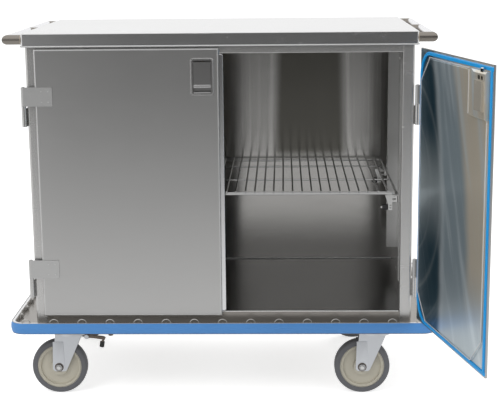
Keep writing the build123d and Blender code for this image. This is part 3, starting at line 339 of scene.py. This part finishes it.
def panReflectionPaint(coords, colour, look):
    # the sheet's colour with its painted reflections, and where the painted blue reflection lies
    zone = panReflectionZone
    x, y, z = coords.parts()
    along = (x * look["along"][0] + y * look["along"][1] - look["start"]) * (1.0 / zone["width"])
    height = (z - zone["foot"]) * (1.0 / zone["height"])
    drift = height.streaks(along, zone["driftScale"]) - 0.5
    pastBlue = along - (zone["blueAt"] - height ** 3.0 * zone["blueLean"] + drift * zone["blueDrift"])
    blue = pastBlue.between(*zone["blueSoft"])
    bend = height * (zone["warmRise"] - height * zone["warmFall"])
    pastWarm = along - (bend + zone["warmAt"] + drift * zone["warmDrift"])
    warm = pastWarm.between(*zone["warmSoft"]) * height.between(*zone["warmFoot"])
    slope = along + height * zone["slant"] - height * height * zone["slantBend"]
    streaks = slope.streaks(height * zone["streakRise"], zone["streakScale"]).between(*zone["streakCut"])
    fine = slope.streaks(height * zone["fineRise"], zone["fineScale"]).between(*zone["fineCut"])
    outward, upward = along + zone["ringOut"], height - zone["ringMiddle"]
    ring = (outward ** 2.0 * zone["ringFlat"] + upward ** 2.0) ** 0.5
    arcs = ring.streaks(along, zone["arcScale"]).between(*zone["arcCut"]) * blue
    waist = (height - zone["waistAt"]).absolute().between(zone["waistTall"], 0.0) * blue
    edge = pastBlue.absolute().between(zone["edgeWide"], 0.0) * (1.0 - blue * zone["edgeInBlue"])
    colour = blue.blend(colour, zone["blue"])
    colour = warm.blend(colour, zone["warm"])
    foot = height.between(*zone["paleFoot"]) * (zone["paleShare"] - blue * zone["paleFade"])
    colour = foot.blend(colour, zone["pale"])
    colour = (streaks * (zone["streakShare"] - blue * zone["streakFade"])).blend(colour, zone["pale"])
    arcs = arcs * (waist * zone["arcOnWaist"] + zone["arcShare"])
    colour = (fine * zone["fineShare"] + arcs + edge * zone["edgeShare"]).blend(colour, zone["pale"])
    return (waist * zone["waistShare"]).blend(colour, zone["waist"]), blue


# painted reflections on the back wall above the shelf: a dark reflection painted in the middle of each half,
# edged by a painted highlight, and fine painted light lines
wallReflectionZone = {"dark": (0.15, 0.145, 0.125), "darkShare": 0.92, "darkSoft": 0.035,
            "centre": 0.248, "half": 0.112, "lean": 0.03, "leanTop": 0.98,
            "foot": 0.55, "footSoft": 0.05, "outsideToInside": (0.2866, 0.2854),
            "light": (0.90, 0.89, 0.86), "rimWide": 0.012, "rimShare": 0.40,
            "lineRise": 0.6, "lineScale": 130.0, "lineCut": (0.45, 0.75), "lineShare": 0.42}


def wallReflectionPaint(coords, colour):
    # paints the wall's reflections into its colour, on the inside face only
    zone = wallReflectionZone
    x, y, z = coords.parts()
    reach = x.absolute()
    off = (reach - zone["centre"]).absolute() - (zone["leanTop"] - z) * zone["lean"]
    above = z.between(zone["foot"], zone["foot"] + zone["footSoft"]) * y.between(*zone["outsideToInside"])
    lines = reach.streaks(z * zone["lineRise"], zone["lineScale"]).between(*zone["lineCut"])
    dark = off.between(zone["half"], zone["half"] - zone["darkSoft"]) * above
    rim = (off - zone["half"]).absolute().between(zone["rimWide"], 0.0) * above
    colour = (lines * zone["lineShare"] * above).blend(colour, zone["light"])
    colour = (dark * zone["darkShare"]).blend(colour, zone["dark"])
    return (rim * zone["rimShare"]).blend(colour, zone["light"])


def metal(name):
    look, wear = {**plainMetal, **metalLooks[name]}, metalWear
    material, shader, coords = freshMaterial(name)
    grain = coords.stretched(look["grain"]).noise(1.0, 3.0)
    drift = coords.noise(wear["driftScale"], 2.0, wear["driftWarp"])
    rubbed = coords.stretched(wear["rubStretch"]).noise(wear["rubScale"], 2.0, wear["rubWarp"])
    rubbed = rubbed.between(*wear["rubCut"])
    darker, lighter = (shaded(look["tone"], amount) for amount in wear["driftTones"])
    colour = drift.blend(darker, lighter)
    colour = (grain * wear["grainShare"]).blend(colour, shaded(look["tone"], wear["grainTone"]))
    rough = look["rough"] + (drift - 0.5) * wear["roughDrift"] + (grain - 0.5) * wear["roughGrain"]
    normal = None
    if look["bow"]:
        normal = coords.stretched(wear["swayStretch"]).noise(1.0, 0.0).bump(look["bow"])
    if look["depth"]:
        normal = grain.bump(look["depth"], normal)
    metallic = look["metallic"]
    # the door pans and the back wall get painted reflections in their colour
    if look["paintedReflections"] == "pan":
        colour, blue = panReflectionPaint(coords, colour, look)
        metallic = blue * (panReflectionZone["blueMetallic"] - metallic) + metallic
    if look["paintedReflections"] == "wall":
        colour = wallReflectionPaint(coords, colour)
    plug(shader, "Base Color", colour)
    plug(shader, "Roughness", rough + rubbed * wear["roughRub"])
    plug(shader, "Metallic", metallic)
    if normal:
        plug(shader, "Normal", normal)
    plug(shader, "Anisotropic", look["smear"])
    plug(shader, "Anisotropic Rotation", wear["smearTurn"])
    return material


# plastics and rubber: tone, roughness, the scale and depth of the fine surface, how scuffed, and a clear coat
softLooks = {
    "bumperVinyl": dict(tone=(0.070, 0.255, 0.600), rough=0.42, scale=420.0, depth=0.00005, scuff=0.25,
                        coat=0.15),
    "gasketRubber": dict(tone=(0.0, 0.32, 0.76), rough=0.45, scale=500.0, depth=0.00002, scuff=0.04,
                         coat=0.05),
    "tyreRubber": dict(tone=(0.130, 0.132, 0.142), rough=0.62, scale=700.0, depth=0.00008, scuff=0.5,
                       coat=0.0),
    "hubPlastic": dict(tone=(0.53, 0.50, 0.415), rough=0.48, scale=350.0, depth=0.00004, scuff=0.25,
                       coat=0.1),
    "blackPlastic": dict(tone=(0.016, 0.016, 0.016), rough=0.45, scale=500.0, depth=0.00005, scuff=0.3,
                         coat=0.1),
}
# what they share: a slow drift of tone, and scuffs that are lighter and duller
softWear = {"driftScale": 9.0, "driftWarp": 0.6, "driftTones": (0.92, 1.07), "roughDrift": 0.12,
            "scuffStretch": (1.0, 1.0, 4.0), "scuffScale": 26.0, "scuffWarp": 1.5, "scuffCut": (0.60, 0.78),
            "scuffGrey": 0.45, "scuffLift": 0.18, "roughScuff": 0.3, "coatRough": 0.25}


def soft(name):
    look, wear = softLooks[name], softWear
    material, shader, coords = freshMaterial(name)
    fine = coords.noise(look["scale"], 2.0)
    drift = coords.noise(wear["driftScale"], 4.0, wear["driftWarp"])
    scuffs = coords.stretched(wear["scuffStretch"]).noise(wear["scuffScale"], 5.0, wear["scuffWarp"])
    scuffs = scuffs.between(*wear["scuffCut"])
    darker, lighter = (shaded(look["tone"], amount) for amount in wear["driftTones"])
    scuffed = tuple(part + (wear["scuffGrey"] - part) * wear["scuffLift"] for part in look["tone"])
    colour = (scuffs * look["scuff"]).blend(drift.blend(darker, lighter), scuffed)
    rough = look["rough"] + (drift - 0.5) * wear["roughDrift"] + scuffs * look["scuff"] * wear["roughScuff"]
    plug(shader, "Base Color", colour)
    plug(shader, "Roughness", rough)
    plug(shader, "Normal", fine.bump(look["depth"]))
    plug(shader, "Coat Weight", look["coat"])
    plug(shader, "Coat Roughness", wear["coatRough"])
    return material


finishes = {name: metal(name) for name in metalLooks}
finishes.update({name: soft(name) for name in softLooks})
print("finishes made:", len(finishes))

# which finish each node takes, by its name or the end of it
nodeFinishes = {
    "top_panel": "topSteel", "front_post": "postSteel", "side_panel": "panelSteel",
    "back_panel": "insideSteel", "header": "postSteel", "sill": "deckSteel", "cabinet_floor": "floorSteel",
    "base_deck": "deckSteel",
    "bumper_channel": "channelAluminium", "bumper": "bumperVinyl", "bumper_fixings": "fixingSteel",
    "cross_members": "panelSteel", "caster_plates": "zincSteel", "underside_bolts": "oiledAndShadeSteel",
    "handle_tubes": "tubeSteel", "handle_stubs": "shadedStubSteel", "fixed_hinge_knuckles": "panelSteel",
    "hinge_pins": "platedSteel", "shelf_standards": "standardSteel", "shelf_clips": "platedSteel",
    "shelf_clip_knobs": "blackPlastic", "shelf_frame": "brightWire", "shelf_wires": "brightWire",
    "door_skin": "satinSteel", "right_door_pan": "rightPanSteel", "left_door_pan": "leftPanSteel",
    "door_gasket": "gasketRubber", "door_astragal": "channelAluminium", "hinge_straps": "strapSteel",
    "latch_housing": "latchSteel", "latch_paddle": "latchSteel", "latch_bolt": "platedSteel",
    "latch_cover": "coverSteel", "caster_fork": "zincSteel", "caster_axle": "axleSteel",
    "caster_hub": "hubPlastic", "caster_tyre": "tyreRubber", "lock_lever_arm": "oiledAndShadeSteel",
    "lock_lever_grip": "blackPlastic",
}


def finishOf(nodeName):
    if nodeName in nodeFinishes:
        return finishes[nodeFinishes[nodeName]]
    return finishes[next(nodeFinishes[key] for key in nodeFinishes if nodeName.endswith("_" + key))]


def dressNodes():
    for nodeName, piece in nodes.items():
        for slot in piece.material_slots:
            slot.material = finishOf(nodeName)
        if not piece.material_slots:
            piece.data.materials.append(finishOf(nodeName))


dressNodes()
print("nodes dressed")

# how near an edge has to lie to be at a place, how far a normal or an edge has to run along an axis, the gap
# that merging closes, and the share of a small piece's height that its rounded edge takes
pick = {"reach": 0.0001, "along": 0.9, "merge": 0.00001}
rounding = {"head": 0.9, "bar": 0.8, "strip": 0.4}


def startPiece(add, scale=(1, 1, 1), **settings):
    bpy.ops.object.select_all(action="DESELECT")
    add(**settings)
    bpy.context.active_object.scale = scale
    bpy.ops.object.transform_apply(location=True, rotation=True, scale=True)
    return bpy.context.active_object


def shape(piece, *steps):
    # each step is an edit mode operator with its settings, or a test that selects faces or edges
    bpy.ops.object.mode_set(mode="EDIT")
    for operator, settings in steps:
        if operator in ("faces", "edges"):
            bpy.ops.object.mode_set(mode="OBJECT")
            for part in list(piece.data.polygons) + list(piece.data.edges) + list(piece.data.vertices):
                part.select = False
            for part in getattr(piece.data, "polygons" if operator == "faces" else "edges"):
                part.select = settings(piece.data, part)
            bpy.ops.object.mode_set(mode="EDIT")
            bpy.ops.mesh.select_mode(type="FACE" if operator == "faces" else "EDGE")
        elif operator == "all":
            bpy.ops.mesh.select_all(action="SELECT")
        else:
            operator(**settings)
    bpy.ops.object.mode_set(mode="OBJECT")


def facesUp(mesh, face):
    return face.normal.z > pick["along"]


def edgeAt(axis, place, reach=pick["reach"]):
    def test(mesh, edge):
        return all(abs(mesh.vertices[index].co[axis] - place) < reach for index in edge.vertices)
    return test


def edgeAlong(axis):
    def test(mesh, edge):
        way = mesh.vertices[edge.vertices[1]].co - mesh.vertices[edge.vertices[0]].co
        return abs(way[axis]) > pick["along"] * way.length
    return test


def finishPiece(piece, name, finish, body, angle=40.0):
    piece.name = piece.data.name = name
    piece.data.materials.clear()
    piece.data.materials.append(finishes[finish])
    bpy.ops.object.select_all(action="DESELECT")
    piece.select_set(True)
    bpy.context.view_layer.objects.active = piece
    bpy.ops.object.shade_smooth_by_angle(angle=radians(angle))
    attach(piece, body)
    return piece


def copyPiece(piece, name, move, body):
    # a copy with its own mesh, moved or turned there
    copy = piece.copy()
    copy.data = piece.data.copy()
    copy.data.transform(move)
    if move.determinant() < 0:
        copy.data.flip_normals()
    copy.name = copy.data.name = name
    bpy.context.scene.collection.objects.link(copy)
    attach(copy, body)


def bead(name, centre, axis, ringRadius, beadRadius, finish, body, steps=56):
    # a round bead spun about an axis through its centre: 0 is x, 1 is y, 2 is z
    out = Vector((1, 0, 0)) if axis == 2 else Vector((0, 0, 1))
    turn = (0, pi / 2, 0) if axis == 1 else (pi / 2, 0, 0)
    ring = startPiece(bpy.ops.mesh.primitive_circle_add, vertices=8, radius=beadRadius,
                      location=Vector(centre) + out * ringRadius, rotation=turn)
    about = Vector([1.0 if index == axis else 0.0 for index in range(3)])
    shape(ring, ("all", None),
          (bpy.ops.mesh.spin, dict(steps=steps, angle=2 * pi, center=centre, axis=about)),
          ("all", None), (bpy.ops.mesh.remove_doubles, dict(threshold=pick["merge"])),
          (bpy.ops.mesh.normals_make_consistent, dict(inside=False)))
    return finishPiece(ring, name, finish, body, 60.0)


def flatRing(place, size, wide, push, upright=False, corner=0.0, cornerSteps=6):
    # a thin ring of a rectangle's outline, level or upright and facing the front, and pushed to its thickness
    turn = (pi / 2, 0, 0) if upright else (0, 0, 0)
    ring = startPiece(bpy.ops.mesh.primitive_plane_add, size=1.0, rotation=turn, scale=(*size, 1),
                      location=place)
    if corner:
        rounded = dict(affect="VERTICES", offset=corner, segments=cornerSteps)
        shape(ring, ("all", None), (bpy.ops.mesh.bevel, rounded))
    half = 0.5 * size[0] * size[1]  # only the middle face is larger
    shape(ring, ("all", None), (bpy.ops.mesh.inset, dict(thickness=wide, use_even_offset=True)),
          ("faces", lambda mesh, face: face.area > half), (bpy.ops.mesh.delete, dict(type="FACE")),
          ("all", None), (bpy.ops.mesh.extrude_region_move, dict(TRANSFORM_OT_translate={"value": push})),
          ("all", None), (bpy.ops.mesh.normals_make_consistent, dict(inside=False)))
    return ring


# casters: rings at the hub's rim and round its boss, the seal, the pressed face of each leg, the axle's ends
casterTrim = {"rimIn": 0.002, "rimBeadIn": 0.0035, "rimBead": 0.0017,
              "bossOut": 0.006, "bossRing": 0.0245, "bossBead": 0.0013,
              "sealRise": 0.0004, "sealRing": 0.0385, "sealBead": 0.0026,
              "legOut": 0.020, "pressRise": 0.0011, "pressShift": 0.001, "pressDrop": 0.0105,
              "pressFoot": 0.0345, "pressHead": 0.029, "pressTall": 0.084, "pressCorner": 0.008,
              "pressEdge": 0.0009, "footReach": 0.0005,
              "washerProud": 0.0012, "washerRing": 0.0107, "washerBead": 0.0016,
              "capRadius": 0.0052, "capTall": 0.0022, "capEdge": 0.0013}
otherCorners = ("front_right", "rear_left", "rear_right")


def makeLegPress(middle, legY):
    # the pressed face of a leg, wider and rounded at its foot
    trim = casterTrim
    footZ = middle.z - trim["pressDrop"]
    press = startPiece(bpy.ops.mesh.primitive_cube_add, size=1.0,
                       scale=(trim["pressFoot"], trim["pressRise"], trim["pressTall"]),
                       location=(middle.x - trim["pressShift"], legY - trim["pressRise"] / 2,
                                 footZ + trim["pressTall"] / 2))
    alongY, atFoot = edgeAlong(1), edgeAt(2, footZ, trim["footReach"])
    shape(press, ("faces", facesUp),
          (bpy.ops.transform.resize, dict(value=(trim["pressHead"] / trim["pressFoot"], 1, 1))),
          ("edges", lambda mesh, edge: alongY(mesh, edge) and atFoot(mesh, edge)),
          (bpy.ops.mesh.bevel, dict(offset=trim["pressCorner"], segments=6)),
          ("edges", edgeAt(1, legY - trim["pressRise"])),
          (bpy.ops.mesh.bevel, dict(offset=trim["pressEdge"], segments=3)))
    return finishPiece(press, "front_left_leg_press", "zincSteel", "front_left_fork")


def makeAxleEnd(middle, endY):
    # the rounded end of the axle on its nut
    trim = casterTrim
    cap = startPiece(bpy.ops.mesh.primitive_cylinder_add, vertices=24, radius=trim["capRadius"],
                     depth=trim["capTall"] * 2, location=(middle.x, endY, middle.z), rotation=(pi / 2, 0, 0))
    rounded = dict(offset=trim["capEdge"], segments=4)
    shape(cap, ("edges", edgeAt(1, endY - trim["capTall"])), (bpy.ops.mesh.bevel, rounded))
    return finishPiece(cap, "front_left_axle_end", "platedSteel", "front_left_fork")


def makeCasterTrim():
    # modelled once, on the front left caster's outer side
    trim = casterTrim
    hubLow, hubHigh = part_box("front_left_caster_hub")
    forkLow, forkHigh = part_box("front_left_caster_fork")
    middle = (hubLow + hubHigh) / 2
    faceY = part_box("front_left_caster_tyre")[0].y + trim["rimIn"]
    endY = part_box("front_left_caster_axle")[0].y
    legY = middle.y - trim["legOut"]
    rimRing = (hubHigh.x - hubLow.x) / 2 - trim["rimBeadIn"]
    rim = bead("front_left_rim_bead", (middle.x, faceY, middle.z), 1, rimRing, trim["rimBead"],
               "hubPlastic", "front_left_wheel", 72)
    boss = bead("front_left_boss_bead", (middle.x, middle.y - trim["bossOut"], middle.z), 1, trim["bossRing"],
                trim["bossBead"], "hubPlastic", "front_left_wheel", 48)
    swivelX, swivelY = forkHigh.x - (forkHigh.y - forkLow.y) / 2, (forkLow.y + forkHigh.y) / 2
    seal = bead("front_left_race_seal", (swivelX, swivelY, forkHigh.z + trim["sealRise"]), 2,
                trim["sealRing"], trim["sealBead"], "blackPlastic", "front_left_fork")
    press = makeLegPress(middle, legY)
    washer = bead("front_left_axle_washer", (middle.x, legY - trim["washerProud"], middle.z), 1,
                  trim["washerRing"], trim["washerBead"], "oiledAndShadeSteel", "front_left_fork", 32)
    cap = makeAxleEnd(middle, endY)

    # then mirrored to the caster's other side, and copied to the other three corners
    across = Matrix.Translation((0, 2 * middle.y, 0)) @ Matrix.Scale(-1, 4, (0, 1, 0))
    pieces = {"rim_bead": (rim, "_wheel", "hub_beige"), "boss_bead": (boss, "_wheel", "hub_beige"),
              "leg_press": (press, "_fork", "zinc"), "axle_washer": (washer, "_fork", "dark_bolts"),
              "axle_end": (cap, "_fork", "zinc")}
    for ending, (piece, part, slot) in pieces.items():
        copyPiece(piece, "front_left_" + ending + "_back", across, "front_left" + part)
    for corner in otherCorners:
        otherLow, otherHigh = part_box(corner + "_caster_hub")
        move = Matrix.Translation((otherLow + otherHigh) / 2 - middle)
        copyPiece(seal, corner + "_race_seal", move, corner + "_fork")
        for ending, (piece, part, slot) in pieces.items():
            copyPiece(piece, corner + "_" + ending, move, corner + part)
            copyPiece(piece, corner + "_" + ending + "_back", move @ across, corner + part)


makeCasterTrim()
print("caster trim made")

# the top: a folded hem along the apron's foot, in pale steel as a painted highlight, and a weld where each
# handle stub meets the apron
topTrim = {"hemProud": 0.0012, "hemWide": 0.0022, "hemTall": 0.0034, "hemRise": 0.0003, "hemEdge": 0.0010,
           "weldIn": 0.0004, "weldRadius": 0.0134, "weldBead": 0.0016}


def outerRun(low, high, proud):
    # the level edges on the outside of a ring that stands proud of a box
    def test(mesh, edge):
        ends = [mesh.vertices[index].co for index in edge.vertices]
        outX, lowY, highY = high.x + proud, low.y - proud, high.y + proud
        level = abs(ends[0].z - ends[1].z) < pick["reach"]
        onSide = all(abs(abs(end.x) - outX) < pick["reach"] for end in ends)
        onEnd = all(min(abs(end.y - lowY), abs(end.y - highY)) < pick["reach"] for end in ends)
        return level and (onSide or onEnd)
    return test


def makeHem():
    trim = topTrim
    low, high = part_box("top_panel")
    proud = trim["hemProud"]
    size = (high.x - low.x + 2 * proud, high.y - low.y + 2 * proud)
    hem = flatRing((0, (low.y + high.y) / 2, low.z + trim["hemRise"]), size, trim["hemWide"],
                   (0, 0, trim["hemTall"]))
    rounded = dict(offset=trim["hemEdge"], segments=3, loop_slide=False, clamp_overlap=True)
    shape(hem, ("edges", outerRun(low, high, proud)), (bpy.ops.mesh.bevel, rounded))
    finishPiece(hem, "apron_hem", "highlightSteel", "cart")


def makeHandleWelds():
    trim = topTrim
    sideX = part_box("top_panel")[1].x - trim["weldIn"]
    low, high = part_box("handle_stubs")
    stubZ, endY = (low.z + high.z) / 2, high.y - (high.z - low.z) / 2
    for side, sign in (("left", -1), ("right", 1)):
        weld = bead(side + "_front_handle_weld", (sign * sideX, -endY, stubZ), 0, trim["weldRadius"],
                    trim["weldBead"], "weldSteel", "cart", 40)
        for place, back in (("_middle", endY), ("_rear", 2 * endY)):
            copyPiece(weld, side + place + "_handle_weld", Matrix.Translation((0, back, 0)), "cart")


makeHem()
makeHandleWelds()
print("top trim made")

# doors: the right one stands open at rest, turned about its hinge pin from the left one's mirror image
doorStand = {"pivot": Vector((0.516, -0.299, 0.0)), "openDegrees": 102.9}
# the latch: a line round its bezel, a screw in each corner, and lips by their height over its foot, in pale
# steel as painted highlights
latchTrim = {"rimIn": 0.0012, "rimWide": 0.0016, "rimRise": 0.0008, "rimSet": 0.0002, "rimCorner": 0.007,
             "screwIn": 0.0042, "screwRadius": 0.0019, "screwRise": 0.0006,
             "lipInsets": (0.0072, 0.0209, 0.0272), "lipShort": 0.0085, "lipTall": 0.0013, "lipRise": 0.0007}
# the hinge straps: their height, and four rivets in each, in pale steel as painted glints
strapTrim = {"tall": 0.050, "rivetIn": 0.011, "rivetPitch": 0.018, "rivetRadius": 0.0024, "rivetRise": 0.0026,
             "rivetSet": 0.0022}


def onBothDoors(piece, name, finish):
    # finished on the left door, and copied to the right one
    finishPiece(piece, "left_" + name, finish, "left_door")
    pivot = doorStand["pivot"]
    mirror = Matrix.Scale(-1, 4, (1, 0, 0))
    turn = Matrix.Rotation(radians(doorStand["openDegrees"]), 4, "Z")
    move = Matrix.Translation(pivot) @ turn @ Matrix.Translation(-pivot) @ mirror
    copyPiece(piece, "right_" + name, move, "right_door")


def domedHead(place, radius, rise):
    # a domed head that faces the front
    head = startPiece(bpy.ops.mesh.primitive_cylinder_add, vertices=12, radius=radius, depth=2 * rise,
                      location=place, rotation=(pi / 2, 0, 0))
    rounded = dict(offset=rise * rounding["head"], segments=3)
    shape(head, ("edges", edgeAt(1, place[1] - rise)), (bpy.ops.mesh.bevel, rounded))
    return head


def roundBar(start, end, y, wide, rise, back=True):
    # a rounded bar on an upright sheet, from one x and z to another, standing to the back or to the front
    start, end = Vector((start[0], y, start[1])), Vector((end[0], y, end[1]))
    way = end - start
    bar = startPiece(bpy.ops.mesh.primitive_cube_add, size=1.0, scale=(way.length, 2 * rise, wide))
    outerY = rise if back else -rise
    rounded = dict(offset=rise * rounding["bar"], segments=3)
    shape(bar, ("edges", edgeAt(1, outerY)), (bpy.ops.mesh.bevel, rounded))
    turn = Matrix.Rotation(-way.xz.angle_signed(Vector((1, 0))), 4, "Y")
    bar.data.transform(Matrix.Translation((start + end) / 2) @ turn)
    return bar


def makeLatchRims():
    trim = latchTrim
    low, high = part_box("left_latch_housing")
    size = (high.x - low.x - 2 * trim["rimIn"], high.z - low.z - 2 * trim["rimIn"])
    rim = flatRing(((low.x + high.x) / 2, low.y + trim["rimSet"], (low.z + high.z) / 2), size,
                   trim["rimWide"], (0, -trim["rimRise"], 0), upright=True, corner=trim["rimCorner"])
    onBothDoors(rim, "latch_rim", "rimSteel")


def makeLatchScrews():
    trim = latchTrim
    low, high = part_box("left_latch_housing")
    inset = trim["screwIn"]
    places = [(x, z) for x in (low.x + inset, high.x - inset) for z in (low.z + inset, high.z - inset)]
    for count, (x, z) in enumerate(places, 1):
        screw = domedHead((x, low.y, z), trim["screwRadius"], trim["screwRise"])
        onBothDoors(screw, "latch_screw_%d" % count, "platedSteel")


def makeStrapRivets():
    trim = strapTrim
    low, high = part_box("left_hinge_straps")
    inset, places = trim["rivetIn"], []
    for foot in (low.z, high.z - trim["tall"]):
        for x in (high.x - inset, high.x - inset - trim["rivetPitch"]):
            places += [(x, foot + inset), (x, foot + trim["tall"] - inset)]
    for count, (x, z) in enumerate(places, 1):
        rivet = domedHead((x, low.y + trim["rivetSet"], z), trim["rivetRadius"], trim["rivetRise"])
        onBothDoors(rivet, "strap_rivet_%d" % count, "highlightSteel")


def makeLatchLips():
    trim = latchTrim
    low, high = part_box("left_latch_housing")
    for count, inset in enumerate(trim["lipInsets"], 1):
        z = low.z + inset
        lip = roundBar((low.x + trim["lipShort"], z), (high.x - trim["lipShort"], z), low.y, trim["lipTall"],
                       trim["lipRise"], back=False)
        onBothDoors(lip, "latch_lip_%d" % count, "highlightSteel")


makeLatchRims()
makeLatchScrews()
makeStrapRivets()
print("latch and hinge trim made")

# folded lines: round each door's face, along the raised middle and the latch boss, in pale steel as painted
# highlights, and tabs at the cut corner
foldTrim = {"rimIn": 0.0026, "rimWide": 0.0013, "rimProud": 0.0003, "rimSet": 0.0002, "rimEdge": 0.0002,
            "rimReach": 0.00002, "lineWide": 0.0024, "lineRise": 0.0009, "panY": -0.291, "panRaise": 0.005,
            "hingeX": -0.467, "freeX": -0.021, "footZ": 0.253, "topZ": 0.939, "cut": 0.064,
            "bossX": -0.138, "bossZ": 0.834, "bossGap": 0.004,
            "tabCount": 4, "tabStep": 0.20, "tabOut": 0.0075, "tabLong": 0.013, "tabWide": 0.0062,
            "tabRise": 0.0016}


def makeDoorRims():
    trim = foldTrim
    low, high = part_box("left_door_skin")
    size = (high.x - low.x - 2 * trim["rimIn"], high.z - low.z - 2 * trim["rimIn"])
    setY = low.y + trim["rimSet"]
    rim = flatRing(((low.x + high.x) / 2, setY, (low.z + high.z) / 2), size, trim["rimWide"],
                   (0, -trim["rimProud"], 0), upright=True)
    rounded = dict(offset=trim["rimEdge"], segments=2, loop_slide=False)
    shape(rim, ("edges", edgeAt(1, setY - trim["rimProud"], trim["rimReach"])), (bpy.ops.mesh.bevel, rounded))
    onBothDoors(rim, "door_rim", "highlightSteel")


def makeFoldLines(name, corners):
    trim = foldTrim
    for count, (start, end) in enumerate(zip(corners, corners[1:]), 1):
        line = roundBar(start, end, trim["panY"], trim["lineWide"], trim["lineRise"])
        onBothDoors(line, "%s_fold_%d" % (name, count), "highlightSteel")


def makePanFolds():
    trim = foldTrim
    hinge, free, foot, top, cut = (trim[key] for key in ("hingeX", "freeX", "footZ", "topZ", "cut"))
    bossX, bossZ = trim["bossX"], trim["bossZ"]
    makeFoldLines("pan", [(free, bossZ), (free, foot + cut), (free - cut, foot), (hinge + cut, foot),
                          (hinge, foot + cut), (hinge, top - cut), (hinge + cut, top), (bossX, top)])
    makeFoldLines("boss", [(bossX, top - trim["bossGap"]), (bossX, bossZ), (free, bossZ)])


def makeCornerTabs():
    # just outside the cut corner at the hinge side, on the flat border
    trim = foldTrim
    start = Vector((trim["hingeX"], trim["topZ"] - trim["cut"]))
    end = Vector((trim["hingeX"] + trim["cut"], trim["topZ"]))
    way = (end - start).normalized()
    outward = Vector((-way.y, way.x)) * trim["tabOut"]
    reach = way * trim["tabLong"] / 2
    for count in range(1, trim["tabCount"] + 1):
        middle = start + (end - start) * (trim["tabStep"] * count) + outward
        tab = roundBar(middle - reach, middle + reach, trim["panY"] - trim["panRaise"], trim["tabWide"],
                       trim["tabRise"])
        onBothDoors(tab, "corner_tab_%d" % count, "fixingSteel")


makeDoorRims()
makePanFolds()
makeCornerTabs()
makeLatchLips()
print("folds and lips made")

# the rail: a saddle over each fixing, and thin lines along the channel above and below the bumper; the one
# below is dark, painted shade under the bumper
railTrim = {"pitch": 0.0762, "endGap": 0.02, "archRadius": 0.0122, "archWire": 0.0012, "archZ": 0.2175,
            "inward": 0.0032, "corner": 0.0395, "lineWide": 0.0026, "sunk": 0.0003, "lipRise": 0.0007,
            "footDrop": 0.0014}


def makeArches():
    trim = railTrim
    arch = startPiece(bpy.ops.mesh.primitive_circle_add, vertices=8, radius=trim["archWire"],
                      location=(trim["archRadius"], 0, 0))
    shape(arch, ("all", None),
          (bpy.ops.mesh.spin, dict(steps=14, angle=pi, center=(0, 0, 0), axis=(0, 1, 0))),
          ("all", None), (bpy.ops.mesh.normals_make_consistent, dict(inside=False)))
    finishPiece(arch, "fixing_arch_01", "fixingSteel", "cart")
    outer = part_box("bumper_fixings")[1]
    sideX, sideY = outer.x - trim["inward"], outer.y - trim["inward"]
    alongX, alongY = (int((reach - trim["endGap"]) // trim["pitch"]) for reach in (outer.x, outer.y))
    places = []
    for step in range(-alongX, alongX + 1):
        places += [(step * trim["pitch"], -sideY, 0.0), (step * trim["pitch"], sideY, pi)]
    for step in range(-alongY, alongY + 1):
        places += [(sideX, step * trim["pitch"], pi / 2), (-sideX, step * trim["pitch"], -pi / 2)]
    moves = [Matrix.Translation((x, y, trim["archZ"])) @ Matrix.Rotation(turn, 4, "Z")
             for x, y, turn in places]
    for count, move in enumerate(moves[1:], 2):
        copyPiece(arch, "fixing_arch_%02d" % count, move, "cart")
    arch.data.transform(moves[0])


def makeRailLines():
    trim = railTrim
    low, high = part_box("bumper_channel")
    lines = {"channel_lip": (high.z - trim["sunk"], trim["sunk"] + trim["lipRise"], "rimSteel"),
             # the foot line is dark as painted shade under the bumper
             "channel_foot": (low.z - trim["footDrop"], trim["footDrop"] + trim["sunk"], "oiledAndShadeSteel")}
    for name, (z, tall, finish) in lines.items():
        ring = flatRing((0, 0, z), (high.x - low.x, high.y - low.y), trim["lineWide"], (0, 0, tall),
                        corner=trim["corner"], cornerSteps=12)
        finishPiece(ring, name, finish, "cart")


makeArches()
makeRailLines()
print("rail made")

# the cabinet floor's rounded joint with the back wall in pale steel, and a near white line along the sill,
# both painted highlights
floorTrim = {"endGap": 0.003, "jointWide": 0.0030, "lineWide": 0.0036, "lineTall": 0.0018, "lineIn": 0.0030,
             "lineRise": 0.0004}


def makeStrip(name, node, y, z, wide, tall, finish):
    # a strip as long as a node, with its long edges rounded
    low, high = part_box(node)
    strip = startPiece(bpy.ops.mesh.primitive_cube_add, size=1.0,
                       scale=(high.x - low.x - 2 * floorTrim["endGap"], wide, tall),
                       location=((low.x + high.x) / 2, y, z))
    rounded = dict(offset=tall * rounding["strip"], segments=3)
    shape(strip, ("edges", edgeAlong(0)), (bpy.ops.mesh.bevel, rounded))
    finishPiece(strip, name, finish, "cart")


def makeFloorTrim():
    trim = floorTrim
    floorEnd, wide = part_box("cabinet_floor")[1], trim["jointWide"]
    makeStrip("floor_joint", "cabinet_floor", floorEnd.y - wide / 2, floorEnd.z + wide / 2, wide, wide,
              "highlightSteel")
    sillLow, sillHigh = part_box("sill")
    makeStrip("sill_line", "sill", sillLow.y + trim["lineIn"], sillHigh.z - trim["lineRise"],
              trim["lineWide"], trim["lineTall"], "whiteHighlightSteel")


makeFloorTrim()
print("floor and sill trim made")
